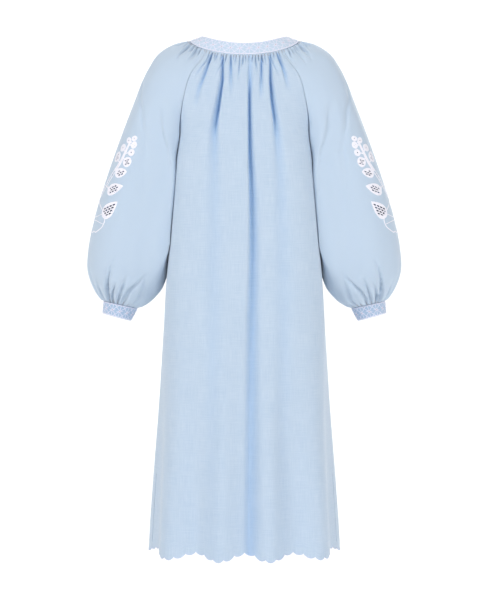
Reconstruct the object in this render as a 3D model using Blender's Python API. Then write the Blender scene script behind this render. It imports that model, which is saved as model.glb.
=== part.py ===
"""Midi dress with gathered neckband and balloon sleeves, hollow, in the shape that a wearer gives it.

Metres, +Z up. -Y is the wearer's back and +X is the wearer's right. The origin is on the body's
midline, at the height where the shoulders carry the dress just outside the neckband.
"""

import math
from collections import namedtuple

import bpy
import numpy as np

# Driving dimensions

CLOTH = 0.0015
BAND_CLOTH = 0.0022
SEAM_GAP = 0.0003
UNDERARM_Z = -0.268
HEM_Z = -1.138
BODY_SIDE = 0.153
CENTRE_DROP = 0.233

LINEN = ((0.55, 0.65, 0.79, 1.0), 0.85)
BAND_LINEN = ((0.60, 0.70, 0.85, 1.0), 0.80)

# Neckband edges: turn 0 is centre back, a quarter turn is the +X side and half a turn is centre front

Ring = namedtuple("Ring", "half_width back front side_z back_drop front_drop sag")
NECK_LOWER = Ring(0.1225, 0.074, 0.088, 0.000, 0.040, 0.090, 1.25)
NECK_UPPER = Ring(0.0945, 0.064, 0.078, 0.010, 0.022, 0.076, 1.90)
BACK_SEAM_TURN = math.radians(43.9)
FRONT_SEAM_TURN = math.radians(134.0)
NECK_COLUMNS = 72

# Raglan seams and centre lines above the underarm, by the share of the way down from the neckband

SeamRow = namedtuple("SeamRow", "share x y")
BACK_SEAM = [
    SeamRow(0.073, 0.0915, -0.0660),
    SeamRow(0.222, 0.1165, -0.0830),
    SeamRow(0.466, 0.1344, -0.0860),
    SeamRow(0.764, 0.1450, -0.0600),
    SeamRow(0.900, 0.1500, -0.0330),
    SeamRow(1.000, BODY_SIDE, 0.0000),
]
FRONT_SEAM = [
    SeamRow(0.150, 0.1010, 0.0760),
    SeamRow(0.350, 0.1205, 0.0900),
    SeamRow(0.600, 0.1370, 0.0860),
    SeamRow(0.820, 0.1465, 0.0600),
    SeamRow(0.920, 0.1505, 0.0350),
    SeamRow(1.000, BODY_SIDE, 0.0000),
]
CentreRow = namedtuple("CentreRow", "share y")
BACK_CENTRE = [
    CentreRow(0.00, -0.074),
    CentreRow(0.12, -0.084),
    CentreRow(0.30, -0.100),
    CentreRow(0.55, -0.113),
    CentreRow(0.80, -0.119),
    CentreRow(1.00, -0.121),
]
FRONT_CENTRE = [
    CentreRow(0.00, 0.088),
    CentreRow(0.20, 0.103),
    CentreRow(0.45, 0.119),
    CentreRow(0.70, 0.129),
    CentreRow(1.00, 0.134),
]

# Body sections below the underarm

BodyRow = namedtuple("BodyRow", "z half_width back front square")
BODY = [
    BodyRow(UNDERARM_Z, BODY_SIDE, 0.121, 0.134, 2.80),
    BodyRow(-0.445, 0.1670, 0.124, 0.137, 2.75),
    BodyRow(-0.542, 0.1745, 0.127, 0.139, 2.70),
    BodyRow(-0.650, 0.1815, 0.131, 0.142, 2.60),
    BodyRow(-0.830, 0.1902, 0.138, 0.147, 2.45),
    BodyRow(-1.010, 0.2007, 0.146, 0.152, 2.35),
    BodyRow(HEM_Z, 0.2083, 0.151, 0.156, 2.30),
]
NECK_SQUARE = 2.0

# Sleeve rows on the +X side. Level 0 is the neckband, 1 the underarm and 2 the cuff seam. Each row runs
# from the crown, the outer line, to the seam or inner line; pulls are the lengths of its curve's handles

SleeveRow = namedtuple("SleeveRow", "level crown_x crown_z inner_x inner_z y crown_pull inner_pull turn rise")
SLEEVE = [
    SleeveRow(0.00, 0.1225, 0.0000, None, None, 0.000, 0.022, 0.022, 37, 10),
    SleeveRow(0.12, 0.1570, -0.0080, None, None, 0.000, 0.036, 0.028, 20, 24),
    SleeveRow(0.25, 0.1890, -0.0270, None, None, 0.000, 0.050, 0.035, 6, 24),
    SleeveRow(0.40, 0.2132, -0.0585, None, None, 0.000, 0.062, 0.040, -6, 18),
    SleeveRow(0.55, 0.2312, -0.0965, None, None, 0.000, 0.074, 0.046, -22, 13),
    SleeveRow(0.70, 0.2468, -0.1380, None, None, 0.000, 0.086, 0.054, -42, 9),
    SleeveRow(0.85, 0.2660, -0.1880, None, None, 0.000, 0.098, 0.072, -66, 4),
    SleeveRow(1.00, 0.2850, -0.2395, 0.1534, UNDERARM_Z, 0.000, 0.109, 0.106, -90, 0),
    SleeveRow(1.20, 0.3110, -0.3140, 0.1600, -0.3400, 0.004, 0.114, 0.112, -90, 0),
    SleeveRow(1.45, 0.3368, -0.3990, 0.1663, -0.4200, 0.010, 0.117, 0.116, -90, 0),
    SleeveRow(1.65, 0.3515, -0.4700, 0.1712, -0.4850, 0.016, 0.118, 0.118, -90, 0),
    SleeveRow(1.80, 0.3530, -0.5200, 0.1785, -0.5345, 0.022, 0.111, 0.111, -90, 0),
    SleeveRow(1.90, 0.3425, -0.5510, 0.1950, -0.5670, 0.027, 0.095, 0.095, -90, 0),
    SleeveRow(1.96, 0.3300, -0.5710, 0.2190, -0.5890, 0.031, 0.072, 0.072, -90, 0),
    SleeveRow(2.00, 0.3187, -0.5852, 0.2430, -0.6018, 0.034, 0.048, 0.048, -90, 0),
]
FRONT_PULL = 1.06
RING_HOLD = 0.20

# Cuff

CUFF_END_CENTRE = (0.2898, 0.0370, -0.6213)
CUFF_END_HALF_WIDTH = 0.0328
CUFF_END_DEPTH = 0.0320
CUFF_LEAN = math.radians(15.0)
CUFF_COLUMNS = 32

# Gathers: how many there are, how far they stand, and how far they run from the seam

NECK_GATHERS = {"back": 24, "front": 26, "sleeve": 8}
CUFF_GATHERS = 12
GATHER_DEPTH = 0.0016
GATHER_START = 0.35
GATHER_RISE = 0.012
GATHER_UNEVEN = 0.25
NECK_GATHER_RUN = 0.085
CUFF_GATHER_RUN = 0.060
EDGE_CALM = 0.012
SLEEVE_EDGE_CALM = 0.083

# Long folds, as valleys. Places across a panel run from -1 to 1, and places down it are metres from the
# neckband. A fold with a column number keeps that column of the panel along its bottom

Fold = namedtuple("Fold", "top_across end_across top end depth top_half end_half column")
FOLD_SETTLE = 1.6
FOLD_START = 8.0
FOLD_FINISH = 3.0
FOLD_LOSS = 0.65
LONG_FOLD = 1.0
LONG_FOLD_START = 14.0
LONG_FOLD_LOSS = 0.35
BACK_FOLDS = [
    Fold(0.070, 0.042, 0.015, 1.110, 0.0130, 0.009, 0.026, 0),
    Fold(-0.480, -0.330, 0.012, 0.290, 0.0085, 0.008, 0.016, -6),
    Fold(0.590, 0.400, 0.012, 0.270, 0.0085, 0.008, 0.016, 7),
    Fold(-0.750, -0.640, 0.012, 0.130, 0.0055, 0.007, 0.014, -10),
    Fold(0.300, 0.240, 0.012, 0.120, 0.0040, 0.006, 0.012, 4),
]
FRONT_FOLDS = [
    Fold(-0.350, -0.270, 0.012, 0.620, 0.0100, 0.008, 0.022, -4),
    Fold(0.270, 0.200, 0.012, 0.700, 0.0100, 0.008, 0.024, 3),
    Fold(0.660, 0.560, 0.012, 0.230, 0.0060, 0.007, 0.014, 9),
    Fold(-0.720, -0.600, 0.012, 0.200, 0.0060, 0.007, 0.014, -10),
]

# Hem: deep waves round the skirt, and small scallops along its edge

HEM_WAVES = 4.5
HEM_WAVE_WARP = 0.07
HEM_WAVE_DEPTH = 0.012
HEM_WAVE_TOP = 0.50
HEM_WAVE_FULL = 1.108
HEM_WAVE_DROP = 0.0075
HEM_SCALLOPS = 26
SCALLOP_DROP = 0.0055

# Columns across each panel and rows down it

NECK_LEVELS = (0.000, 0.025, 0.070, 0.140, 0.240)
YOKE_LEVELS = (0.36, 0.50, 0.64, 0.78, 0.90, 1.00)
SKIRT_LEVELS = (1.10, 1.22, 1.36, 1.51, 1.67, 1.82, 1.95)
SLEEVE_LEVELS = (1.15, 1.32, 1.48, 1.62, 1.74)
BODY_COLUMNS = 30
SLEEVE_COLUMNS = 10

# Levels where a panel is parted by a seam gap, so that collision follows each length closely
PANEL_PARTINGS = {"back": (1.00, 1.51), "front": ()}
PANEL_NAMES = {"back": ("back_panel_yoke", "back_panel_waist", "back_panel_skirt"), "front": ("front_panel",)}
CUFF_STEPS = (0.050, 0.034, 0.020, 0.009, 0.000)
ROW_SAMPLES = 160
TINY = 1e-3

# Cutwork leaves beside the crown line: metres down the crown from the neckband, metres out from it, and
# the leaf's length, width and lean. Their slanted gaps lie like bricks in rows

Leaf = namedtuple("Leaf", "along across length width lean")
LEAVES = [
    Leaf(0.3311, 0.0460, 0.026, 0.023, 60),
    Leaf(0.3391, 0.0835, 0.025, 0.022, 20),
    Leaf(0.3672, 0.0766, 0.030, 0.023, 105),
    Leaf(0.4051, 0.0750, 0.041, 0.029, 112),
    Leaf(0.4544, 0.0790, 0.046, 0.037, 150),
]
GAP_LENGTH = 0.0060
GAP_WIDTH = 0.0030
GAP_PITCH = 0.0084
GAP_ROW = 0.0064
GAP_SLANT = math.radians(115)
LEAF_BORDER = 0.0042
FRONT_SHIFT = 0.012
CUTTER_REACH = 0.004


# Small helpers


def spline(knots, values, at):
    """The smooth curve through values at the knots, read at one place."""
    knots, values = np.asarray(knots, float), np.asarray(values, float)
    slopes = np.gradient(values, knots, axis=0)
    i = int(np.clip(np.searchsorted(knots, at, side="right") - 1, 0, len(knots) - 2))
    span = knots[i + 1] - knots[i]
    t = (at - knots[i]) / span
    return (
        (1 + 2 * t) * (1 - t) ** 2 * values[i]
        + t * (1 - t) ** 2 * span * slopes[i]
        + t * t * (3 - 2 * t) * values[i + 1]
        - t * t * (1 - t) * span * slopes[i + 1]
    )


def ease(t):
    """0 below 0, 1 above 1, and a smooth rise between."""
    t = np.clip(t, 0.0, 1.0)
    return t * t * (3 - 2 * t)


def unit(vectors):
    return vectors / np.maximum(np.linalg.norm(vectors, axis=-1, keepdims=True), 1e-12)


def by_length(points, shares):
    """Points at shares of the length along a fine line of points."""
    steps = np.linalg.norm(np.diff(points, axis=0), axis=1)
    run = np.concatenate([[0.0], np.cumsum(steps)])
    places = np.asarray(shares) * run[-1]
    return np.stack([np.interp(places, run, points[:, k]) for k in range(3)], axis=1)


def length_of(points):
    return float(np.linalg.norm(np.diff(points, axis=0), axis=1).sum())


def mirrored(points):
    return points * np.array([-1.0, 1.0, 1.0])


# Neckband edge and the normal that the band and the panels share there


def neck_point(ring, turn):
    """A point of a neckband edge."""
    swing = math.cos(turn)
    reach = ring.back if swing > 0 else ring.front
    drop = ring.back_drop if swing > 0 else ring.front_drop
    return np.array(
        [
            ring.half_width * math.sin(turn),
            -reach * swing,
            ring.side_z - drop * abs(swing) ** ring.sag,
        ]
    )


def neck_normal(turn):
    """Outward normal where the band meets the panels."""
    along = neck_point(NECK_LOWER, turn + TINY) - neck_point(NECK_LOWER, turn - TINY)
    up = neck_point(NECK_UPPER, turn) - neck_point(NECK_LOWER, turn)
    return unit(np.cross(along, up))


# Body panels


def seam_point(face, share):
    """The raglan seam on the +X side, from the neckband at 0 to the underarm at 1."""
    rows = BACK_SEAM if face == "back" else FRONT_SEAM
    turn = BACK_SEAM_TURN if face == "back" else FRONT_SEAM_TURN
    start = neck_point(NECK_LOWER, turn)
    shares = [0.0] + [r.share for r in rows]
    places = [(start[0], start[1])] + [(r.x, r.y) for r in rows]
    x, y = spline(shares, places, share)
    return np.array([x, y, start[2] + (UNDERARM_Z - start[2]) * share])


def row_rise(face, across):
    """How far a yoke row has risen from its centre to its end, as the neckband edge does."""
    turn = BACK_SEAM_TURN if face == "back" else math.pi - FRONT_SEAM_TURN
    swing = np.sqrt(1 - (across * math.sin(turn)) ** 2)
    return (1 - swing**NECK_LOWER.sag) / (1 - math.cos(turn) ** NECK_LOWER.sag)


def body_line(face, level):
    """A fine line of points along half a row, from the centre to the +X edge."""
    sign = -1.0 if face == "back" else 1.0
    if level <= 1.0:
        end = seam_point(face, level)
        rows = BACK_CENTRE if face == "back" else FRONT_CENTRE
        reach = abs(spline([r.share for r in rows], [r.y for r in rows], level))
        drop = NECK_LOWER.back_drop if face == "back" else NECK_LOWER.front_drop
        centre_z = -drop + (UNDERARM_Z + drop) * level
        square = NECK_SQUARE + (BODY[0].square - NECK_SQUARE) * level
        ratio = min(abs(end[1]) / reach, 0.9999)
        side = end[0] / (1 - ratio**square) ** (1 / square)
        end_x, end_z = end[0], end[2]
    else:
        centre_z = end_z = UNDERARM_Z + (HEM_Z - UNDERARM_Z) * (level - 1.0)
        column = 2 if face == "back" else 3
        heights = [-r.z for r in BODY]
        side, reach, square = spline(heights, [(r[1], r[column], r.square) for r in BODY], -end_z)
        end_x = side
    last = math.asin(min((end_x / side) ** (square / 2), 1.0))
    swing = np.linspace(0.0, last, ROW_SAMPLES)
    x = side * np.sin(swing) ** (2 / square)
    y = sign * reach * np.clip(np.cos(swing), 0.0, 1.0) ** (2 / square)
    z = centre_z + (end_z - centre_z) * row_rise(face, np.clip(x / end_x, 0.0, 1.0))
    return np.stack([x, y, z], axis=1)


def body_row(face, level, across):
    """Points of a body row at places from -1, the -X edge, to 1, the +X edge."""
    line = body_line(face, level)
    points = by_length(line, np.clip(np.abs(across), 0.0, 1.0))
    points[:, 0] *= np.sign(across)
    return points


def half_length(face, level):
    return length_of(body_line(face, level))


def distance_down(level):
    """Metres from the neckband at the centre of the body, by level."""
    below = UNDERARM_Z - HEM_Z
    return CENTRE_DROP * level if level <= 1 else CENTRE_DROP + below * (level - 1)


def gather(across, count, distance, run):
    """Height of the gathers at a distance from their seam: ridges and valleys that die out."""
    if distance >= run:
        return np.zeros_like(across)
    grow = GATHER_START + (1 - GATHER_START) * ease(distance / GATHER_RISE)
    uneven = 1 - GATHER_UNEVEN * (1 - np.sin(across * 17.0 + 1.3) * np.cos(across * 9.0))
    fade = (1 - ease(distance / (run * uneven))) ** 0.7
    return GATHER_DEPTH * grow * fade * np.cos(math.pi * count * (across + 1))


def folds_of(face):
    return BACK_FOLDS if face == "back" else FRONT_FOLDS


def fold_middle(fold, distance):
    """Where a fold's bottom is across the panel at a distance down."""
    t = (distance - fold.top) / (fold.end - fold.top)
    return fold.top_across + (fold.end_across - fold.top_across) * ease(t * FOLD_SETTLE)


def panel_columns(face, level):
    """Places of the plain columns, drawn over so that they follow the folds."""
    half = BODY_COLUMNS // 2
    kept = sorted((fold.column, fold_middle(fold, distance_down(level))) for fold in folds_of(face))
    columns = [-half] + [column for column, _ in kept] + [half]
    places = [-1.0] + [place for _, place in kept] + [1.0]
    return np.interp(np.arange(-half, half + 1), columns, places)


def fold_height(folds, across, distance, half):
    """Height, below zero, of the long folds at one distance down."""
    height = np.zeros_like(across)
    for fold in folds:
        t = (distance - fold.top) / (fold.end - fold.top)
        if not 0 < t < 1:
            continue
        middle = fold_middle(fold, distance)
        half_fold = fold.top_half + (fold.end_half - fold.top_half) * t
        strength = ease(t * FOLD_START) * (1 - FOLD_LOSS * ease(t)) * ease((1 - t) * FOLD_FINISH)
        if fold.end > LONG_FOLD:
            strength = ease(t * LONG_FOLD_START) * (1 - LONG_FOLD_LOSS * ease(t))
        height -= fold.depth * strength * np.exp(-(((across - middle) * half / half_fold) ** 2))
    return height


def hem_wave(face, across):
    """The skirt's waves, from -1 in a valley to 1 on a ridge; the two panels run into each other."""
    sign = -1.0 if face == "back" else 1.0
    warped = across + HEM_WAVE_WARP * np.sin(math.pi * across)
    return sign * np.cos(math.pi * HEM_WAVES * warped)


def body_relief(face, level, across):
    """Height of the cloth over the plain body surface."""
    distance = distance_down(level)
    half = half_length(face, level)
    edge = ease((1 - np.abs(across)) * half / EDGE_CALM)
    gathers = gather(across, NECK_GATHERS[face], distance, NECK_GATHER_RUN)
    wave = ease((distance - HEM_WAVE_TOP) / (HEM_WAVE_FULL - HEM_WAVE_TOP)) * HEM_WAVE_DEPTH
    folds = fold_height(folds_of(face), across, distance, half)
    return edge * (gathers + folds) + wave * hem_wave(face, across)


# Sleeves, worked out on the +X side


def sleeve_line(face, level):
    """A fine line of points along half a sleeve row, from the crown to the seam or inner line."""
    sign = -1.0 if face == "back" else 1.0
    rows = [(r.crown_x, r.crown_z, r.y, r.crown_pull, r.inner_pull, r.turn, r.rise) for r in SLEEVE]
    values = spline([r.level for r in SLEEVE], rows, level)
    crown_x, crown_z, y, crown_pull, inner_pull, turn, rise = values
    if level <= 1.0:
        inner = seam_point(face, level) + np.array([SEAM_GAP, 0.0, 0.0])
    else:
        below = [r for r in SLEEVE if r.inner_x is not None]
        inner_x, inner_z = spline([r.level for r in below], [(r.inner_x, r.inner_z) for r in below], level)
        inner = np.array([inner_x, y, inner_z])
    crown = np.array([crown_x, y, crown_z])
    turn, rise = math.radians(turn), math.radians(rise)
    leave = np.array(
        [math.cos(turn) * math.cos(rise), -sign * math.sin(turn) * math.cos(rise), math.sin(rise)]
    )
    factor = FRONT_PULL if face == "front" else 1.0
    pulled_crown = crown + np.array([0.0, sign * crown_pull * factor, 0.0])
    pulled_inner = inner + leave * inner_pull * factor
    t = np.linspace(0.0, 1.0, ROW_SAMPLES)[:, None]
    line = (
        (1 - t) ** 3 * crown
        + 3 * t * (1 - t) ** 2 * pulled_crown
        + 3 * t * t * (1 - t) * pulled_inner
        + t**3 * inner
    )
    hold = 1 - ease(level / RING_HOLD)
    if hold > 0:
        line = by_length(line, np.linspace(0.0, 1.0, ROW_SAMPLES))
        at_band = by_length(sleeve_top(face), np.linspace(0.0, 1.0, ROW_SAMPLES))
        plain_top = sleeve_top_chord(face, line)
        line = line + hold * (at_band - plain_top)
    return line


def sleeve_top(face):
    """The neckband edge between the crown and a raglan seam."""
    end = BACK_SEAM_TURN if face == "back" else FRONT_SEAM_TURN
    turns = np.linspace(math.pi / 2, end, ROW_SAMPLES)
    return np.array([neck_point(NECK_LOWER, t) for t in turns])


def sleeve_top_chord(face, line):
    """The same stretch as a plain curve, so that only the difference is passed down the sleeve."""
    first, last = sleeve_top(face)[0], sleeve_top(face)[-1]
    t = np.linspace(0.0, 1.0, ROW_SAMPLES)[:, None]
    bend = line - (line[0] + (line[-1] - line[0]) * t)
    return first + (last - first) * t + bend


def sleeve_row(face, level, out):
    """Points of half a sleeve row at places from 0, the crown, to 1, the inner line."""
    return by_length(sleeve_line(face, level), np.clip(out, 0.0, 1.0))


CROWN_LEVELS = np.linspace(0.0, 2.0, 201)


def crown_run():
    """Metres down the crown from the neckband at each of CROWN_LEVELS."""
    crown = np.array([sleeve_line("back", level)[0] for level in CROWN_LEVELS])
    return np.concatenate([[0.0], np.cumsum(np.linalg.norm(np.diff(crown, axis=0), axis=1))])


CROWN_RUN = crown_run()


def sleeve_level(along):
    """The level at a distance down the crown."""
    return float(np.interp(along, CROWN_RUN, CROWN_LEVELS))


def sleeve_relief(level, out):
    """Height of the cloth over the plain sleeve surface: gathers at the neckband and at the cuff."""
    along = float(np.interp(level, CROWN_LEVELS, CROWN_RUN))
    top = gather(out, NECK_GATHERS["sleeve"] * 2, along, NECK_GATHER_RUN)
    cuff = gather(out, CUFF_GATHERS * 2, CROWN_RUN[-1] - along, CUFF_GATHER_RUN)
    calm = ease(out / SLEEVE_EDGE_CALM) * ease((1 - out) / SLEEVE_EDGE_CALM)
    return calm * (top + cuff)


# Walls


def normals_of(row, level, places, low, high, outward):
    """Outward normals of a surface given row by row."""
    after = row(level, np.clip(places + TINY, low, high))
    before = row(level, np.clip(places - TINY, low, high))
    below = row(min(level + TINY, 2.0), places)
    above = row(max(level - TINY, 0.0), places)
    return unit(np.cross(after - before, below - above)) * outward


def level_ends(normals, first, last):
    """The same normals with the chosen end ones turned straight out sideways, as the far panel has them."""
    for end, chosen in ((0, first), (-1, last)):
        if chosen:
            normals[end][1] = 0.0
            normals[end] = unit(normals[end])
    return normals


def zipped(first, second, first_places, second_places):
    """Triangles between two rows of points that may differ in number."""
    faces, i, j = [], 0, 0
    while i < len(first) - 1 or j < len(second) - 1:
        take_first = j == len(second) - 1 or (
            i < len(first) - 1 and first_places[i + 1] <= second_places[j + 1] + 1e-9
        )
        if take_first:
            faces.append((first[i], first[i + 1], second[j]))
            i += 1
        else:
            faces.append((first[i], second[j + 1], second[j]))
            j += 1
    return faces


def strip(first, second, first_places, second_places):
    """Faces between two neighbouring rows."""
    if len(first) != len(second):
        return zipped(first, second, first_places, second_places)
    return [(first[k], first[k + 1], second[k + 1], second[k]) for k in range(len(first) - 1)]


def wall(rows):
    """Vertices and faces of a closed wall. A row is (places, outer points, inner points)."""
    vertices, outer, inner = [], [], []
    for _, outside, inside in rows:
        outer.append(list(range(len(vertices), len(vertices) + len(outside))))
        vertices.extend(outside)
        inner.append(list(range(len(vertices), len(vertices) + len(inside))))
        vertices.extend(inside)
    faces = []
    for r in range(len(rows) - 1):
        places, next_places = rows[r][0], rows[r + 1][0]
        faces += strip(outer[r], outer[r + 1], places, next_places)
        faces += [f[::-1] for f in strip(inner[r], inner[r + 1], places, next_places)]
        for end, flip in ((0, False), (-1, True)):
            face = (outer[r][end], outer[r + 1][end], inner[r + 1][end], inner[r][end])
            faces.append(face[::-1] if flip else face)
    for k in range(len(outer[0]) - 1):
        faces.append((outer[0][k], inner[0][k], inner[0][k + 1], outer[0][k + 1]))
    for k in range(len(outer[-1]) - 1):
        faces.append((outer[-1][k], outer[-1][k + 1], inner[-1][k + 1], inner[-1][k]))
    return vertices, faces


def ring_wall(outer_rings, inner_rings):
    """Vertices and faces of a closed band: rings of the outside from top to bottom, and of the inside."""
    rings = list(outer_rings) + list(inner_rings)[::-1]
    count = len(rings[0])
    vertices = [p for ring in rings for p in ring]
    faces = []
    for r in range(len(rings)):
        after = (r + 1) % len(rings)
        for k in range(count):
            n = (k + 1) % count
            faces.append((r * count + k, r * count + n, after * count + n, after * count + k))
    return vertices, faces


def material(name, look):
    colour, roughness = look
    made = bpy.data.materials.new(name)
    made.use_nodes = True
    shader = made.node_tree.nodes["Principled BSDF"]
    shader.inputs["Base Color"].default_value = colour
    shader.inputs["Roughness"].default_value = roughness
    shader.inputs["Metallic"].default_value = 0.0
    return made


def volume_of(vertices, faces):
    """Six times the volume inside closed faces, below zero where they point inwards."""
    total = 0.0
    for face in faces:
        for k in range(1, len(face) - 1):
            total += np.dot(vertices[face[0]], np.cross(vertices[face[k]], vertices[face[k + 1]]))
    return total


def cloth_object(name, vertices, faces, look):
    """A named object of cloth, its faces turned outward."""
    mesh = bpy.data.meshes.new(name)
    if volume_of(vertices, faces) < 0:
        faces = [f[::-1] for f in faces]
    mesh.from_pydata([tuple(v) for v in vertices], [], faces)
    mesh.materials.append(material(name, look))
    mesh.shade_smooth()
    mesh.set_sharp_from_angle(angle=math.radians(50))
    made = bpy.data.objects.new(name, mesh)
    bpy.context.scene.collection.objects.link(made)
    return made


# The pieces


def inset_places(places, length):
    """The same places with the two ends drawn in by half a seam gap."""
    places = np.array(places, float)
    span = places[-1] - places[0]
    inset = span * SEAM_GAP / 2 / length
    places[0] += inset
    places[-1] -= inset
    return places


def body_panel(face):
    """The back or front panel, from the neckband to the scalloped hem."""
    outward = -1.0 if face == "back" else 1.0
    gathered = np.linspace(-1, 1, NECK_GATHERS[face] * 2 + 1)
    hemmed = np.linspace(-1, 1, HEM_SCALLOPS * 3 + 1)
    levels = [(level, gathered) for level in NECK_LEVELS]
    levels += [(level, panel_columns(face, level)) for level in YOKE_LEVELS + SKIRT_LEVELS]
    levels.append((2.0, hemmed))
    rows, lengths = [], []
    for level, columns in levels:
        across = inset_places(columns, 2 * half_length(face, level))

        def surface(lev, places):
            return body_row(face, lev, places)

        normals = normals_of(surface, level, across, -1.0, 1.0, outward)
        normals = level_ends(normals, level >= 1.0, level >= 1.0)
        points = surface(level, across)
        if level == 0.0:
            turns = np.arcsin(np.clip(points[:, 0] / NECK_LOWER.half_width, -1, 1))
            turns = turns if face == "back" else math.pi - turns
            normals = np.array([neck_normal(t) for t in turns])
            down = unit(body_row(face, TINY * 5, across) - points)
            points = points + down * SEAM_GAP
        points = points + normals * body_relief(face, level, across)[:, None]
        if level == 2.0:
            steps = np.arange(len(across)) % 3
            points[:, 2] -= np.where(steps == 0, 0.0, SCALLOP_DROP)
            points[:, 2] -= HEM_WAVE_DROP * hem_wave(face, across)
        points[:, 0] -= np.sign(across) * (np.abs(across) > 0.999) * SEAM_GAP / 2
        row = (across, points, points - normals * CLOTH)
        if level in PANEL_PARTINGS[face]:
            half_gap = np.array([0.0, 0.0, SEAM_GAP / 2])
            rows.append((across, row[1] + half_gap, row[2] + half_gap))
            lengths.append(rows)
            rows = [(across, row[1] - half_gap, row[2] - half_gap)]
        else:
            rows.append(row)
    lengths.append(rows)
    for name, length in zip(PANEL_NAMES[face], lengths):
        vertices, faces = wall(length)
        cloth_object(name, vertices, faces, LINEN)


def sleeve_half(side, face):
    """The back or front half of a sleeve, from the neckband and crown line to the cuff."""
    outward = 1.0 if face == "back" else -1.0
    gathered = np.linspace(0, 1, NECK_GATHERS["sleeve"] * 2 + 1)
    plain = np.linspace(0, 1, SLEEVE_COLUMNS + 1)
    cuffed = np.linspace(0, 1, CUFF_GATHERS * 2 + 1)
    levels = [(level, gathered) for level in NECK_LEVELS]
    levels += [(level, plain) for level in YOKE_LEVELS + SLEEVE_LEVELS]
    levels += [(sleeve_level(CROWN_RUN[-1] - d), cuffed) for d in CUFF_STEPS]
    rows = []

    def surface(level, places):
        return sleeve_row(face, level, places)

    for level, columns in levels:
        out = inset_places(columns, length_of(sleeve_line(face, level)))
        normals = normals_of(surface, level, out, 0.0, 1.0, outward)
        points = surface(level, out)
        if level == 0.0:
            turns = [math.atan2(p[0] / NECK_LOWER.half_width, -p[1] / edge_reach(face)) for p in points]
            normals = np.array([neck_normal(t) for t in turns])
            points = points + unit(surface(TINY * 5, out) - points) * SEAM_GAP
        if level == 2.0:
            centre, axis = cuff_axis()
            normals = unit(points - centre)
            points = points + axis * SEAM_GAP
        normals = level_ends(normals, True, level >= 1.0)
        points = points + normals * sleeve_relief(level, out)[:, None]
        rows.append((out, points, points - normals * CLOTH))
    vertices, faces = wall(rows)
    if side == "left":
        vertices = mirrored(np.array(vertices))
    made = cloth_object(f"sleeve_{side}_{face}", vertices, faces, LINEN)
    cut_gaps(made, side, face)
    return made


def edge_reach(face):
    return NECK_LOWER.back if face == "back" else NECK_LOWER.front


# Cutwork


def leaf_gaps(leaf):
    """Centres of the gaps inside a leaf, as (along, across)."""
    lean = math.radians(leaf.lean)
    reach = int(leaf.length / GAP_ROW) + 1
    found = []
    for row in range(-reach, reach + 1):
        for column in range(-reach, reach + 1):
            p = (column + 0.5 * (row % 2)) * GAP_PITCH
            q = row * GAP_ROW
            along = p * math.cos(GAP_SLANT) - q * math.sin(GAP_SLANT)
            across = p * math.sin(GAP_SLANT) + q * math.cos(GAP_SLANT)
            u = along * math.cos(lean) + across * math.sin(lean)
            v = across * math.cos(lean) - along * math.sin(lean)
            if math.hypot(u / (leaf.length / 2 - LEAF_BORDER), v / (leaf.width / 2 - LEAF_BORDER)) < 1:
                found.append((leaf.along + along, leaf.across + across))
    return found


def gap_corners(along, across):
    """The four corners of one slanted gap, in metres along and across."""
    long_half, short_half = GAP_LENGTH / 2, GAP_WIDTH / 2
    outline = [(-long_half, -short_half * 0.5), (long_half * 0.6, -short_half)]
    outline += [(long_half, short_half * 0.5), (-long_half * 0.6, short_half)]
    slant = (math.cos(GAP_SLANT), math.sin(GAP_SLANT))
    return [(along + p * slant[0] - q * slant[1], across + p * slant[1] + q * slant[0]) for p, q in outline]


def on_sleeve(face, along, across):
    """The point and outward normal at a distance down the crown and out from it."""
    outward = 1.0 if face == "back" else -1.0
    level = sleeve_level(along)
    out = np.array([across / length_of(sleeve_line(face, level))])
    point = sleeve_row(face, level, out)[0]
    normal = normals_of(lambda lev, p: sleeve_row(face, lev, p), level, out, 0.0, 1.0, outward)[0]
    return point, normal


def cut_gaps(sleeve, side, face):
    """Cuts the leaves' gaps right through a half sleeve."""
    vertices, faces = [], []
    shift = FRONT_SHIFT if face == "front" else 0.0
    for leaf in LEAVES:
        for along, across in leaf_gaps(leaf):
            corners = gap_corners(along + shift, across)
            _, normal = on_sleeve(face, along + shift, across)
            start = len(vertices)
            for reach in (CUTTER_REACH, -CUTTER_REACH):
                for a, b in corners:
                    vertices.append(on_sleeve(face, a, b)[0] + normal * reach)
            top, low = [start + k for k in range(4)], [start + 4 + k for k in range(4)]
            faces += [tuple(top), tuple(low[::-1])]
            faces += [(top[k], low[k], low[(k + 1) % 4], top[(k + 1) % 4]) for k in range(4)]
    if side == "left":
        vertices = mirrored(np.array(vertices))
    cutter = cloth_object(f"{sleeve.name}_cutter", vertices, faces, LINEN)
    cutter.hide_render = True
    cutter.display_type = "WIRE"
    cut = sleeve.modifiers.new("cutwork", "BOOLEAN")
    cut.operation = "DIFFERENCE"
    cut.solver = "EXACT"
    cut.object = cutter


# Bands


def neckband():
    """The band round the neck, lying on the shoulders and standing against the neck."""
    turns = np.linspace(0, 2 * math.pi, NECK_COLUMNS, endpoint=False)
    upper = np.array([neck_point(NECK_UPPER, t) for t in turns])
    lower = np.array([neck_point(NECK_LOWER, t) for t in turns])
    normals = np.array([neck_normal(t) for t in turns])
    inside = [upper - normals * BAND_CLOTH, lower - normals * BAND_CLOTH]
    vertices, faces = ring_wall([upper, lower], inside)
    return cloth_object("neckband", vertices, faces, BAND_LINEN)


def cuff_axis():
    """Centre of the cuff's seam with the sleeve, and the direction up the cuff's axis."""
    last = SLEEVE[-1]
    crown = np.array([last.crown_x, last.y, last.crown_z])
    inner = np.array([last.inner_x, last.y, last.inner_z])
    across = unit(crown - inner)
    return (crown + inner) / 2, np.array([-across[2], 0.0, across[0]])


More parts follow.
